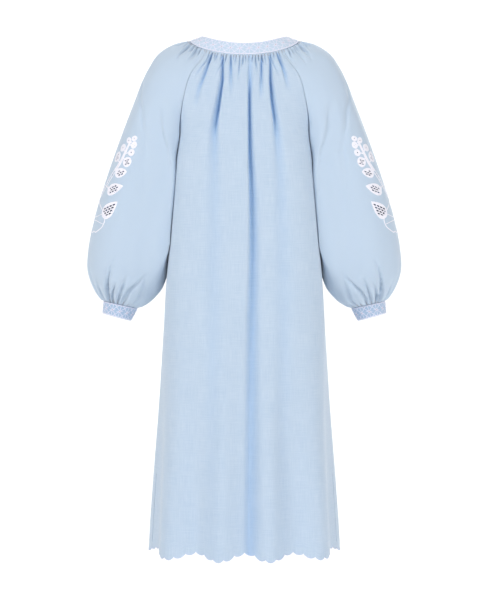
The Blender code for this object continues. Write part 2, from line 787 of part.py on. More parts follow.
def cuff(side):
    """A cuff, drawn in a little towards the hand."""
    places = np.linspace(0.0, 1.0, CUFF_COLUMNS // 2 + 1)
    back_half = sleeve_row("back", 2.0, places)
    front_half = sleeve_row("front", 2.0, places[::-1])[1:-1]
    upper = np.concatenate([back_half, front_half])
    turns = np.linspace(0, 2 * math.pi, CUFF_COLUMNS, endpoint=False)
    out = np.array([math.cos(CUFF_LEAN), 0.0, math.sin(CUFF_LEAN)])
    swing = np.outer(np.cos(turns), out) * CUFF_END_HALF_WIDTH
    swing[:, 1] -= np.sin(turns) * CUFF_END_DEPTH
    lower = np.array(CUFF_END_CENTRE) + swing
    top_in = unit(upper - cuff_axis()[0]) * BAND_CLOTH
    vertices, faces = ring_wall([upper, lower], [upper - top_in, lower - unit(swing) * BAND_CLOTH])
    vertices = np.array(vertices)
    if side == "left":
        vertices = mirrored(vertices)
    return cloth_object(f"cuff_{side}", vertices, faces, BAND_LINEN)


def main():
    for old in list(bpy.data.objects):
        bpy.data.objects.remove(old)
    body_panel("back")
    body_panel("front")
    for side in ("left", "right"):
        sleeve_half(side, "back")
        sleeve_half(side, "front")
        cuff(side)
    neckband()


main()
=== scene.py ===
"""Looks of the midi dress: fine cloth with its gathers, folds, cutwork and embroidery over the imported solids.

Metres, +Z up. -Y is the wearer's back, which the camera sees, and +X is the wearer's right.
"""

import math
from collections import namedtuple
from functools import partial

import bpy
import numpy as np
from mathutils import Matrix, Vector
from mathutils.geometry import delaunay_2d_cdt


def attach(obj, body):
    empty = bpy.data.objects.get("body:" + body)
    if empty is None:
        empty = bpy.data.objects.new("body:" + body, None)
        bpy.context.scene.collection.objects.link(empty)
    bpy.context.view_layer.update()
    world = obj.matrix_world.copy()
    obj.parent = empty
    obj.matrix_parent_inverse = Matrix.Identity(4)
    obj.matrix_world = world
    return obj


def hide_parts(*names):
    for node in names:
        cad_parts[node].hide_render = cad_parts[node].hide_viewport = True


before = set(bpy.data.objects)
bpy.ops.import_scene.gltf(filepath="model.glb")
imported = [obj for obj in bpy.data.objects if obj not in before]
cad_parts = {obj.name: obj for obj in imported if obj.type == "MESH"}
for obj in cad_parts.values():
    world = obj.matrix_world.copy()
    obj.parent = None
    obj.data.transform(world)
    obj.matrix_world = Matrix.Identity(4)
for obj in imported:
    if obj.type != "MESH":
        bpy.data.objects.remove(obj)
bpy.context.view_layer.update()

# The surfaces of the dress, by the same named values as the solids

SEAM_GAP = 0.0003
UNDERARM_Z = -0.268
HEM_Z = -1.138
BODY_SIDE = 0.153
CENTRE_DROP = 0.233

# Neckband edges: turn 0 is centre back, a quarter turn is the +X side and half a turn is centre front

Ring = namedtuple("Ring", "half_width back front side_z back_drop front_drop sag")
NECK_LOWER = Ring(0.1225, 0.074, 0.088, 0.000, 0.040, 0.090, 1.25)
NECK_UPPER = Ring(0.0945, 0.064, 0.078, 0.010, 0.022, 0.076, 1.90)
SEAM_TURN = {"back": math.radians(43.9), "front": math.radians(134.0)}

# Raglan seams and centre lines above the underarm, by the share of the way down from the neckband

SeamRow = namedtuple("SeamRow", "share x y")
BACK_SEAM = [
    SeamRow(0.073, 0.0915, -0.0660),
    SeamRow(0.222, 0.1165, -0.0830),
    SeamRow(0.466, 0.1344, -0.0860),
    SeamRow(0.764, 0.1450, -0.0600),
    SeamRow(0.900, 0.1500, -0.0330),
    SeamRow(1.000, BODY_SIDE, 0.0000),
]
FRONT_SEAM = [
    SeamRow(0.150, 0.1010, 0.0760),
    SeamRow(0.350, 0.1205, 0.0900),
    SeamRow(0.600, 0.1370, 0.0860),
    SeamRow(0.820, 0.1465, 0.0600),
    SeamRow(0.920, 0.1505, 0.0350),
    SeamRow(1.000, BODY_SIDE, 0.0000),
]
SEAM = {"back": BACK_SEAM, "front": FRONT_SEAM}
CentreRow = namedtuple("CentreRow", "share y")
BACK_CENTRE = [
    CentreRow(0.00, -0.074),
    CentreRow(0.12, -0.084),
    CentreRow(0.30, -0.100),
    CentreRow(0.55, -0.113),
    CentreRow(0.80, -0.119),
    CentreRow(1.00, -0.121),
]
FRONT_CENTRE = [
    CentreRow(0.00, 0.088),
    CentreRow(0.20, 0.103),
    CentreRow(0.45, 0.119),
    CentreRow(0.70, 0.129),
    CentreRow(1.00, 0.134),
]
CENTRE = {"back": BACK_CENTRE, "front": FRONT_CENTRE}

# Body sections below the underarm

BodyRow = namedtuple("BodyRow", "z half_width back front square")
BODY = [
    BodyRow(UNDERARM_Z, BODY_SIDE, 0.121, 0.134, 2.80),
    BodyRow(-0.445, 0.1670, 0.124, 0.137, 2.75),
    BodyRow(-0.542, 0.1745, 0.127, 0.139, 2.70),
    BodyRow(-0.650, 0.1815, 0.131, 0.142, 2.60),
    BodyRow(-0.830, 0.1902, 0.138, 0.147, 2.45),
    BodyRow(-1.010, 0.2007, 0.146, 0.152, 2.35),
    BodyRow(HEM_Z, 0.2083, 0.151, 0.156, 2.30),
]
NECK_SQUARE = 2.0

# Sleeve rows on the +X side. Level 0 is the neckband, 1 the underarm and 2 the cuff seam. Each row runs
# from the crown, the outer line, to the seam or inner line; pulls are the lengths of its curve's handles

SleeveRow = namedtuple("SleeveRow", "level crown_x crown_z inner_x inner_z y crown_pull inner_pull turn rise")
SLEEVE = [
    SleeveRow(0.00, 0.1225, 0.0000, None, None, 0.000, 0.022, 0.022, 37, 10),
    SleeveRow(0.12, 0.1570, -0.0080, None, None, 0.000, 0.036, 0.028, 20, 24),
    SleeveRow(0.25, 0.1890, -0.0270, None, None, 0.000, 0.050, 0.035, 6, 24),
    SleeveRow(0.40, 0.2132, -0.0585, None, None, 0.000, 0.062, 0.040, -6, 18),
    SleeveRow(0.55, 0.2312, -0.0965, None, None, 0.000, 0.074, 0.046, -22, 13),
    SleeveRow(0.70, 0.2468, -0.1380, None, None, 0.000, 0.086, 0.054, -42, 9),
    SleeveRow(0.85, 0.2660, -0.1880, None, None, 0.000, 0.098, 0.072, -66, 4),
    SleeveRow(1.00, 0.2850, -0.2395, 0.1534, UNDERARM_Z, 0.000, 0.109, 0.106, -90, 0),
    SleeveRow(1.20, 0.3110, -0.3140, 0.1600, -0.3400, 0.004, 0.114, 0.112, -90, 0),
    SleeveRow(1.45, 0.3368, -0.3990, 0.1663, -0.4200, 0.010, 0.117, 0.116, -90, 0),
    SleeveRow(1.65, 0.3515, -0.4700, 0.1712, -0.4850, 0.016, 0.118, 0.118, -90, 0),
    SleeveRow(1.80, 0.3530, -0.5200, 0.1785, -0.5345, 0.022, 0.111, 0.111, -90, 0),
    SleeveRow(1.90, 0.3425, -0.5510, 0.1950, -0.5670, 0.027, 0.095, 0.095, -90, 0),
    SleeveRow(1.96, 0.3300, -0.5710, 0.2190, -0.5890, 0.031, 0.072, 0.072, -90, 0),
    SleeveRow(2.00, 0.3187, -0.5852, 0.2430, -0.6018, 0.034, 0.048, 0.048, -90, 0),
]
FRONT_PULL = 1.06
RING_HOLD = 0.20
SLEEVE_SQUARE = 1.7
TOUCH_GAP = 0.0006
TOUCH_FROM = 0.067
TOUCH_TO = 0.096
BODY_SQUARE = 1.1

CUFF_END_CENTRE = (0.2898, 0.0370, -0.6213)
CUFF_END_HALF_WIDTH = 0.0328
CUFF_END_DEPTH = 0.0320
CUFF_LEAN = math.radians(15.0)

FACES = ("back", "front")
SIDES = ("left", "right")
SIGN = {"back": -1.0, "front": 1.0}
ROW_SAMPLES = 420
EVEN = np.linspace(0.0, 1.0, ROW_SAMPLES)
TINY = 1e-3
TO_LEFT = np.array([-1.0, 1.0, 1.0])


def spline(knots, values, at):
    """The smooth curve through values at the knots, read at one place."""
    knots, values = np.asarray(knots, float), np.asarray(values, float)
    slopes = np.gradient(values, knots, axis=0)
    i = int(np.clip(np.searchsorted(knots, at, side="right") - 1, 0, len(knots) - 2))
    span = knots[i + 1] - knots[i]
    t = (at - knots[i]) / span
    return (
        (1 + 2 * t) * (1 - t) ** 2 * values[i]
        + t * (1 - t) ** 2 * span * slopes[i]
        + t * t * (3 - 2 * t) * values[i + 1]
        - t * t * (1 - t) * span * slopes[i + 1]
    )


def ease(t):
    """0 below 0, 1 above 1, and a smooth rise between."""
    t = np.clip(t, 0.0, 1.0)
    return t * t * (3 - 2 * t)


def unit(vectors):
    return vectors / np.maximum(np.linalg.norm(vectors, axis=-1, keepdims=True), 1e-12)


def runs_along(points):
    """The length run at each point of a line."""
    return np.concatenate([[0.0], np.cumsum(np.linalg.norm(np.diff(points, axis=0), axis=1))])


def by_length(points, shares):
    """Points at shares of the length along a fine line of points."""
    run = runs_along(points)
    places = np.asarray(shares) * run[-1]
    return np.stack([np.interp(places, run, points[:, k]) for k in range(3)], axis=1)


def length_of(points):
    return float(np.linalg.norm(np.diff(points, axis=0), axis=1).sum())


# Neckband edge and the normal that the band and the panels share there


def neck_point(ring, turn):
    """A point of a neckband edge."""
    swing = math.cos(turn)
    reach = ring.back if swing > 0 else ring.front
    drop = ring.back_drop if swing > 0 else ring.front_drop
    z = ring.side_z - drop * abs(swing) ** ring.sag
    return np.array([ring.half_width * math.sin(turn), -reach * swing, z])


def neck_normal(turn):
    """Outward normal where the band meets the panels."""
    along = neck_point(NECK_LOWER, turn + TINY) - neck_point(NECK_LOWER, turn - TINY)
    up = neck_point(NECK_UPPER, turn) - neck_point(NECK_LOWER, turn)
    return unit(np.cross(along, up))


# Body panels


def seam_point(face, share):
    """The raglan seam on the +X side, from the neckband at 0 to the underarm at 1."""
    start = neck_point(NECK_LOWER, SEAM_TURN[face])
    shares = [0.0] + [r.share for r in SEAM[face]]
    places = [(start[0], start[1])] + [(r.x, r.y) for r in SEAM[face]]
    x, y = spline(shares, places, share)
    return np.array([x, y, start[2] + (UNDERARM_Z - start[2]) * share])


def row_rise(face, across):
    """How far a yoke row has risen from its centre to its end, as the neckband edge does."""
    turn = min(SEAM_TURN[face], math.pi - SEAM_TURN[face])
    swing = np.sqrt(1 - (across * math.sin(turn)) ** 2)
    return (1 - swing**NECK_LOWER.sag) / (1 - math.cos(turn) ** NECK_LOWER.sag)


def body_section(face, level):
    """Half width, reach and squareness of the body's section at a level."""
    if level <= 1.0:
        end = seam_point(face, level)
        reach = abs(spline([r.share for r in CENTRE[face]], [r.y for r in CENTRE[face]], level))
        square = NECK_SQUARE + (BODY[0].square - NECK_SQUARE) * level
        square += BODY_SQUARE * ease((level - 0.45) / 0.4)
        ratio = min(abs(end[1]) / reach, 0.9999)
        return end[0] / (1 - ratio**square) ** (1 / square), reach, square
    rows = [(r.half_width, getattr(r, face), r.square) for r in BODY]
    z = UNDERARM_Z + (HEM_Z - UNDERARM_Z) * (level - 1.0)
    side, reach, square = spline([-r.z for r in BODY], rows, -z)
    return side, reach, square + BODY_SQUARE * (1 - ease((level - 1.15) / 0.55))


def body_line(face, level):
    """A fine line of points along half a row, from the centre to the +X edge."""
    side, reach, square = body_section(face, level)
    if level <= 1.0:
        end_x, _, end_z = seam_point(face, level)
        drop = NECK_LOWER.back_drop if face == "back" else NECK_LOWER.front_drop
        centre_z = -drop + (UNDERARM_Z + drop) * level
    else:
        centre_z = end_z = UNDERARM_Z + (HEM_Z - UNDERARM_Z) * (level - 1.0)
        end_x = side
    last = math.asin(min((end_x / side) ** (square / 2), 1.0))
    swing = np.linspace(0.0, last, ROW_SAMPLES)
    x = side * np.sin(swing) ** (2 / square)
    y = SIGN[face] * reach * np.clip(np.cos(swing), 0.0, 1.0) ** (2 / square)
    z = centre_z + (end_z - centre_z) * row_rise(face, np.clip(x / end_x, 0.0, 1.0))
    return np.stack([x, y, z], axis=1)


def body_row(face, level, across):
    """Points of a body row at places from -1, the -X edge, to 1, the +X edge."""
    line = body_line(face, level)
    points = by_length(line, np.clip(np.abs(across), 0.0, 1.0))
    points[:, 0] *= np.sign(across)
    return points


def body_level(distance):
    """The level at a distance from the neckband down the centre of the body."""
    if distance <= CENTRE_DROP:
        return distance / CENTRE_DROP
    return min(1 + (distance - CENTRE_DROP) / (UNDERARM_Z - HEM_Z), 2.0)


# Levels about the underarm whose rows are mixed there, with their shares

UNDERARM_SPREAD = 0.30
UNDERARM_STEPS = [(-0.18, 0.10), (-0.12, 0.15), (-0.06, 0.16), (0.0, 0.18), (0.06, 0.16), (0.12, 0.15),
                  (0.18, 0.10)]


def sleeve_line(face, level):
    """A fine line of points along half a sleeve row, passing softly by the end of the raglan seam."""
    line = set_line(face, level)
    share = 1 - ease(abs(level - 1.0) / UNDERARM_SPREAD)
    if share > 0:
        around = sum(part * set_line(face, level + step) for step, part in UNDERARM_STEPS)
        line = line + (share * ease(EVEN / 0.25) * ease((1 - EVEN) / 0.12))[:, None] * (around - line)
    return line


def set_line(face, level):
    """Half a sleeve row as its own numbers set it, from the crown to the seam or inner line."""
    sign = SIGN[face]
    rows = [(r.crown_x, r.crown_z, r.y, r.crown_pull, r.inner_pull, r.turn, r.rise) for r in SLEEVE]
    values = spline([r.level for r in SLEEVE], rows, level)
    crown_x, crown_z, y, crown_pull, inner_pull, turn, rise = values
    if level <= 1.0:
        inner = seam_point(face, level) + np.array([SEAM_GAP, 0.0, 0.0])
    else:
        below = [r for r in SLEEVE if r.inner_x is not None]
        inner_x, inner_z = spline([r.level for r in below], [(r.inner_x, r.inner_z) for r in below], level)
        inner = np.array([inner_x, y, inner_z])
    crown = np.array([crown_x, y, crown_z])
    turn, rise = math.radians(turn), math.radians(rise)
    level_way = math.cos(rise)
    leave = np.array([math.cos(turn) * level_way, -sign * math.sin(turn) * level_way, math.sin(rise)])
    factor = FRONT_PULL if face == "front" else 1.0
    pulled_crown = crown + np.array([0.0, sign * crown_pull * factor, 0.0])
    pulled_inner = inner + leave * inner_pull * factor
    t = EVEN[:, None]
    line = (1 - t) ** 3 * crown + 3 * t * (1 - t) ** 2 * pulled_crown
    line = line + 3 * t * t * (1 - t) * pulled_inner + t**3 * inner
    square = SLEEVE_SQUARE * ease((level - 0.50) / 0.40) * (1 - ease((level - 1.56) / 0.38))
    if square > 0:
        past = np.clip(2 * t[:, 0] - 1, 0.0, 1.0 - 1e-6)
        fuller = (1 - past ** (2 + 2 * square)) / (1 - past**2) - 1
        base = crown[1] + (inner[1] - crown[1]) * t[:, 0]
        line[:, 1] += (line[:, 1] - base) * fuller * ease(past / 0.6)
    lean = ease((level - 0.50) / 0.35) * (1 - ease((level - 1.56) / 0.38))
    if lean > 0:
        line = against_body(face, line, lean * ease((t[:, 0] - 0.50) / 0.15))
    hold = 1 - ease(level / RING_HOLD)
    if hold > 0:
        line = by_length(line, EVEN)
        line = line + hold * (by_length(sleeve_top(face), EVEN) - sleeve_top_chord(face, line))
    return line


SECTION_LEVELS = np.linspace(0.0, 2.0, 161)
SECTIONS = {face: np.array([body_section(face, v) for v in SECTION_LEVELS]) for face in FACES}


def against_body(face, line, share):
    """A sleeve line whose inner stretch lies against the side of the body."""
    top = seam_point(face, 0.0)[2]
    x, y, z = line[:, 0], np.abs(line[:, 1]), line[:, 2]
    past = (UNDERARM_Z - z) / (UNDERARM_Z - HEM_Z)
    level = np.where(z > UNDERARM_Z, (top - z) / (top - UNDERARM_Z), 1 + past)
    side, reach, square = (np.interp(level, SECTION_LEVELS, SECTIONS[face][:, k]) for k in range(3))
    body_x = side * (1 - np.clip(y / reach, 0.0, 0.98) ** square) ** (1 / square)
    near = ease((TOUCH_TO - y) / (TOUCH_TO - TOUCH_FROM)) * ease(y / 0.010) * (y < reach * 0.98)
    line = line.copy()
    line[:, 0] -= share * near * np.maximum(x - body_x - TOUCH_GAP, 0.0)
    return line


def sleeve_top(face):
    """The neckband edge between the crown and a raglan seam."""
    turns = np.linspace(math.pi / 2, SEAM_TURN[face], ROW_SAMPLES)
    return np.array([neck_point(NECK_LOWER, t) for t in turns])


def sleeve_top_chord(face, line):
    """The same stretch as a plain curve, so that only the difference is passed down the sleeve."""
    first, last = sleeve_top(face)[[0, -1]]
    t = EVEN[:, None]
    bend = line - (line[0] + (line[-1] - line[0]) * t)
    return first + (last - first) * t + bend


def sleeve_row(face, level, out):
    """Points of half a sleeve row at places from 0, the crown, to 1, the inner line."""
    return by_length(sleeve_line(face, level), np.clip(out, 0.0, 1.0))


# Metres down the crown from the neckband at even levels

CROWN_LEVELS = np.linspace(0.0, 2.0, 201)
CROWN_RUN = runs_along(np.array([sleeve_line("back", level)[0] for level in CROWN_LEVELS]))


def sleeve_level(along):
    """The level at a distance down the crown."""
    return float(np.interp(along, CROWN_RUN, CROWN_LEVELS))


def normals_of(row, level, places, low, high, outward):
    """Outward normals of a surface given row by row."""
    after = row(level, np.clip(places + TINY, low, high))
    before = row(level, np.clip(places - TINY, low, high))
    below = row(min(level + TINY, 2.0), places)
    above = row(max(level - TINY, 0.0), places)
    return unit(np.cross(after - before, below - above)) * outward


def level_ends(normals, first, last):
    """The same normals with the chosen end ones turned straight out sideways, as the far panel has them."""
    for end, chosen in ((0, first), (-1, last)):
        if chosen:
            normals[end][1] = 0.0
            normals[end] = unit(normals[end])
    return normals


def cuff_centre():
    """The centre of the cuff's seam with the sleeve."""
    last = SLEEVE[-1]
    crown = np.array([last.crown_x, last.y, last.crown_z])
    return (crown + np.array([last.inner_x, last.y, last.inner_z])) / 2


# Fine cloth: how thick it is, where its rows are, and how it is gathered

THIN = 0.0009
HEM_WAVES = 4.5
HEM_WAVE_WARP = 0.07
HEM_WAVE_DEPTH = 0.012
HEM_WAVE_TOP = 0.50
HEM_WAVE_FULL = 1.108
HEM_WAVE_DROP = 0.0075
HEM_SCALLOPS = 26
SCALLOP_DROP = 0.0060
BODY_STEPS = [(0.0, 22), (0.030, 32), (0.100, 30), (0.235, 84), (1.060, 14), (1.103, 0)]
SLEEVE_STEPS = [(0.0, 20), (0.030, 30), (0.100, 38), (0.300, 56), (0.520, 18), (0.600, 38)]
SLEEVE_STEPS += [(CROWN_RUN[-1], 0)]
HEM_SHAPE_FROM = 1.050
PANEL_COLUMNS = HEM_SCALLOPS * 10
HALF_COLUMNS = 96
BODY_BLEND = 0.06
SLEEVE_BLEND = 0.10
CUFF_BLEND = 1.985
# How strongly painted shade darkens the gathers' hollows, and how fast it grows in long folds with their depth
# for their width
GROOVE_PAINTED_SHADE = 0.24
FOLD_PAINTED_SHADE_SPREAD = 1.2
PUFF = 0.0022
TUCK = 0.0010
SOFT_WAVE = 0.00042

Grooves = namedtuple("Grooves", "place length depth width grown drift skew")


def grooves(count, seed, lengths, depth, width, grown, long_every=5, long_lengths=(0.055, 0.085)):
    """Uneven gathers along a seam: places are shares of the seam, and the rest is in metres."""
    rng = np.random.default_rng(seed)
    place = (np.arange(count) + 0.5 + rng.uniform(-0.20, 0.20, count)) / count
    length = rng.uniform(*lengths, count)
    is_long = (np.arange(count) + int(rng.integers(long_every))) % long_every == 0
    length = np.where(is_long, rng.uniform(*long_lengths, count), length)
    deep = depth * rng.uniform(0.70, 1.20, count)
    drift = rng.uniform(-0.0030, 0.0030, count)
    skew = rng.uniform(0.20, 0.50, count) * np.where(rng.uniform(-1, 1, count) > 0, 1, -1)
    wide = grown * rng.uniform(0.7, 1.3, count)
    return Grooves(place, length, deep, np.full(count, width), wide, drift, skew)


def groove_height(made, share, distance, run, shift=0.0):
    """The cloth's height in and between the gathers at a distance from their seam, and the painted shade in
    their hollows.
    """
    t = distance / made.length
    width = made.width + (made.grown - made.width) * np.clip(t, 0, 1)
    off = (share[:, None] - (made.place + shift)[None, :]) * run - made.drift * ease(t)
    grow = 0.40 + 0.60 * ease(distance / 0.010)
    fade = 1 - ease((t - 0.25) / 0.75)
    width = width * (1 + made.skew * np.where(off < 0, 1, -1))
    shape = grow * fade * np.exp(-((off / width) ** 2))
    dips = made.depth * shape
    # Painted shade in the gathers' hollows, passed on to darken the linen's colour there
    within = 1 - np.prod(1 - GROOVE_PAINTED_SHADE * shape, axis=1)
    puff = PUFF * ease(distance / 0.008) * (1 - ease((distance - 0.012) / 0.050))
    tuck = TUCK * (1 - ease(distance / 0.004))
    return puff - tuck - dips.sum(axis=1), within


# Long folds, as valleys: sideways places, depths and half widths on each side, by metres from the neckband

Fold = namedtuple("Fold", "path depth left right")
BACK_FOLDS = [
    Fold([(0.004, 0.0122), (0.05, 0.0115), (0.1, 0.0101), (0.22, 0.0099), (0.31, 0.0126), (0.43, 0.0155),
          (0.77, 0.0144), (1.11, 0.0126)],
         [(0.004, 0.002), (0.03, 0.0045), (0.05, 0.0062), (0.07, 0.0092), (0.095, 0.0125), (0.24, 0.0165),
          (0.4, 0.015), (0.8, 0.012), (1.11, 0.012)],
         [(0.0, 0.004), (0.05, 0.004), (0.09, 0.0024), (0.22, 0.002), (0.33, 0.0028), (0.66, 0.009),
          (1.1, 0.011)],
         [(0.0, 0.006), (0.05, 0.006), (0.09, 0.005), (0.13, 0.0052), (0.22, 0.0082), (0.33, 0.0125),
          (1.1, 0.016)]),
    Fold([(0.004, -0.0473), (0.059, -0.0473), (0.104, -0.054), (0.168, -0.0634), (0.23, -0.0662),
          (0.6, -0.0673), (1.1, -0.0707)],
         [(0.004, 0.003), (0.03, 0.0095), (0.08, 0.0135), (0.125, 0.0165), (0.16, 0.015), (0.2, 0.008),
          (0.27, 0.005), (0.6, 0.0045), (1.1, 0.002)],
         [(0.0, 0.0034), (0.06, 0.0052), (0.15, 0.009), (0.4, 0.016)],
         [(0.0, 0.0018), (0.06, 0.0022), (0.15, 0.0034), (0.22, 0.009), (0.4, 0.016)]),
    Fold([(0.004, 0.0565), (0.061, 0.0565), (0.104, 0.0598), (0.149, 0.0658), (0.196, 0.0716), (0.26, 0.0779),
          (0.4, 0.0824), (0.6, 0.0846), (1.1, 0.0824)],
         [(0.004, 0.003), (0.03, 0.0095), (0.08, 0.0145), (0.145, 0.014), (0.19, 0.0075), (0.26, 0.005),
          (0.6, 0.0045), (1.1, 0.002)],
         [(0.0, 0.0018), (0.06, 0.0022), (0.15, 0.0034), (0.22, 0.009), (0.4, 0.016)],
         [(0.0, 0.0034), (0.06, 0.005), (0.175, 0.0085), (0.4, 0.016)]),
    Fold([(0.002, -0.0702), (0.05, -0.0866), (0.085, -0.0992), (0.16, -0.111)],
         [(0.002, 0.002), (0.022, 0.008), (0.06, 0.007), (0.13, 0.0)], [(0.0, 0.0024), (0.13, 0.008)],
         [(0.0, 0.0018), (0.13, 0.005)]),
    Fold([(0.002, -0.0295), (0.13, -0.029)], [(0.002, 0.002), (0.022, 0.007), (0.055, 0.0045), (0.1, 0.0)],
         [(0.0, 0.0022), (0.13, 0.007)], [(0.0, 0.0018), (0.13, 0.005)]),
    Fold([(0.002, 0.0378), (0.078, 0.0358), (0.14, 0.0351)],
         [(0.002, 0.002), (0.022, 0.008), (0.06, 0.006), (0.11, 0.0)], [(0.0, 0.0018), (0.13, 0.004)],
         [(0.0, 0.0022), (0.13, 0.007)]),
    Fold([(0.002, 0.0715), (0.05, 0.0885), (0.11, 0.1)],
         [(0.002, 0.002), (0.02, 0.007), (0.05, 0.005), (0.09, 0.0)], [(0.0, 0.0018), (0.11, 0.005)],
         [(0.0, 0.0024), (0.11, 0.007)]),
]
FRONT_FOLDS = [
    Fold([(0.004, -0.034), (0.12, -0.042), (0.35, -0.062), (0.7, -0.067), (1.1, -0.067)],
         [(0.004, 0.003), (0.035, 0.011), (0.18, 0.013), (0.35, 0.008), (0.7, 0.005), (1.1, 0.004)],
         [(0.0, 0.0022), (0.14, 0.0034), (0.42, 0.012), (0.7, 0.018)],
         [(0.0, 0.0034), (0.14, 0.008), (0.42, 0.014), (0.7, 0.018)]),
    Fold([(0.004, 0.026), (0.12, 0.032), (0.4, 0.05), (0.76, 0.054), (1.1, 0.062)],
         [(0.004, 0.003), (0.035, 0.011), (0.2, 0.014), (0.4, 0.009), (0.76, 0.006), (1.1, 0.005)],
         [(0.0, 0.0034), (0.15, 0.008), (0.45, 0.014), (0.76, 0.018)],
         [(0.0, 0.0022), (0.15, 0.0034), (0.45, 0.012), (0.76, 0.018)]),
    Fold([(0.002, 0.063), (0.1, 0.08), (0.24, 0.098)],
         [(0.002, 0.002), (0.03, 0.008), (0.12, 0.006), (0.24, 0.0)], [(0.0, 0.002), (0.24, 0.011)],
         [(0.0, 0.0028), (0.24, 0.012)]),
    Fold([(0.002, -0.069), (0.1, -0.086), (0.21, -0.098)],
         [(0.002, 0.002), (0.03, 0.008), (0.1, 0.006), (0.21, 0.0)], [(0.0, 0.0028), (0.21, 0.012)],
         [(0.0, 0.002), (0.21, 0.011)]),
    Fold([(0.002, -0.005), (0.14, -0.005)], [(0.002, 0.002), (0.022, 0.0075), (0.06, 0.005), (0.12, 0.0)],
         [(0.0, 0.002), (0.13, 0.007)], [(0.0, 0.002), (0.13, 0.007)]),
]


def fold_dip(fold, x, distance):
    """How far one long fold sinks at a distance down, steeper on its narrower side, and the painted shade in
    its hollow.
    """
    middle, depth, left, right = (np.interp(distance, *zip(*knots)) for knots in fold)
    if distance < fold.depth[0][0] or distance > fold.depth[-1][0] or depth <= 0:
        return np.zeros_like(x), np.zeros_like(x)
    off = x - middle
    shape = np.exp(-(np.abs(off / np.where(off < 0, left, right)) ** 2.2))
    # The second value is painted shade, stronger where the fold is deep for its width
    return depth * shape, shape * (1 - math.exp(-depth / (left + right) / FOLD_PAINTED_SHADE_SPREAD))


def hem_wave(face, across):
    """The skirt's waves, from -1 in a valley to 1 on a ridge; the two panels run into each other."""
    warped = across + HEM_WAVE_WARP * np.sin(math.pi * across)
    return SIGN[face] * np.cos(math.pi * HEM_WAVES * warped)


def soft_waves(across, distance, seed, half):
    """Slight hanging unevenness that runs down the cloth."""
    rng = np.random.default_rng(seed)
    height = np.zeros_like(across)
    for _ in range(7):
        pitch = rng.uniform(0.045, 0.110)
        phase, tilt, beat = rng.uniform(0, 6.28), rng.uniform(-1.2, 1.2), rng.uniform(0, 6.28)
        swell = 0.6 + 0.4 * math.sin(distance * rng.uniform(3, 7) + beat)
        height += swell * np.sin(across * half / pitch * 6.28 + phase + tilt * distance)
    return height * SOFT_WAVE


GROOVES = {
    face: grooves(count, seed, (0.020, 0.040), 0.0054, 0.00110, 0.0026)
    for face, count, seed in (("back", 26, 11), ("front", 28, 12))
}
FOLDS = {"back": BACK_FOLDS, "front": FRONT_FOLDS}
SEAM_DIP = 0.0005
SEAM_DIP_HALF = 0.0016


def body_height(face, distance, half, across, x):
    """Height of the fine cloth over the plain body surface, and the painted shade in its folds and gathers."""
    from_edge = (1 - np.abs(across)) * half
    edge = ease(from_edge / 0.010)
    height, within = groove_height(GROOVES[face], (across + 1) / 2, distance, 2 * half)
    for fold in FOLDS[face]:
        dip, deep = fold_dip(fold, x, distance)
        # The painted shade of each long fold is added to that of the gathers
        height, within = height - dip, 1 - (1 - within) * (1 - deep)
    waves = soft_waves(across, distance, 5 if face == "back" else 6, half) * ease(distance / 0.08)
    height += waves * ease((from_edge - 0.015) / 0.060)
    wave = ease((distance - HEM_WAVE_TOP) / (HEM_WAVE_FULL - HEM_WAVE_TOP)) * HEM_WAVE_DEPTH
    seam = SEAM_DIP * np.exp(-((from_edge / SEAM_DIP_HALF) ** 2))
    return edge * height + wave * hem_wave(face, across) - seam, edge * within


# Sleeves. Their long folds are given along the crown line, by the share of the way out from it

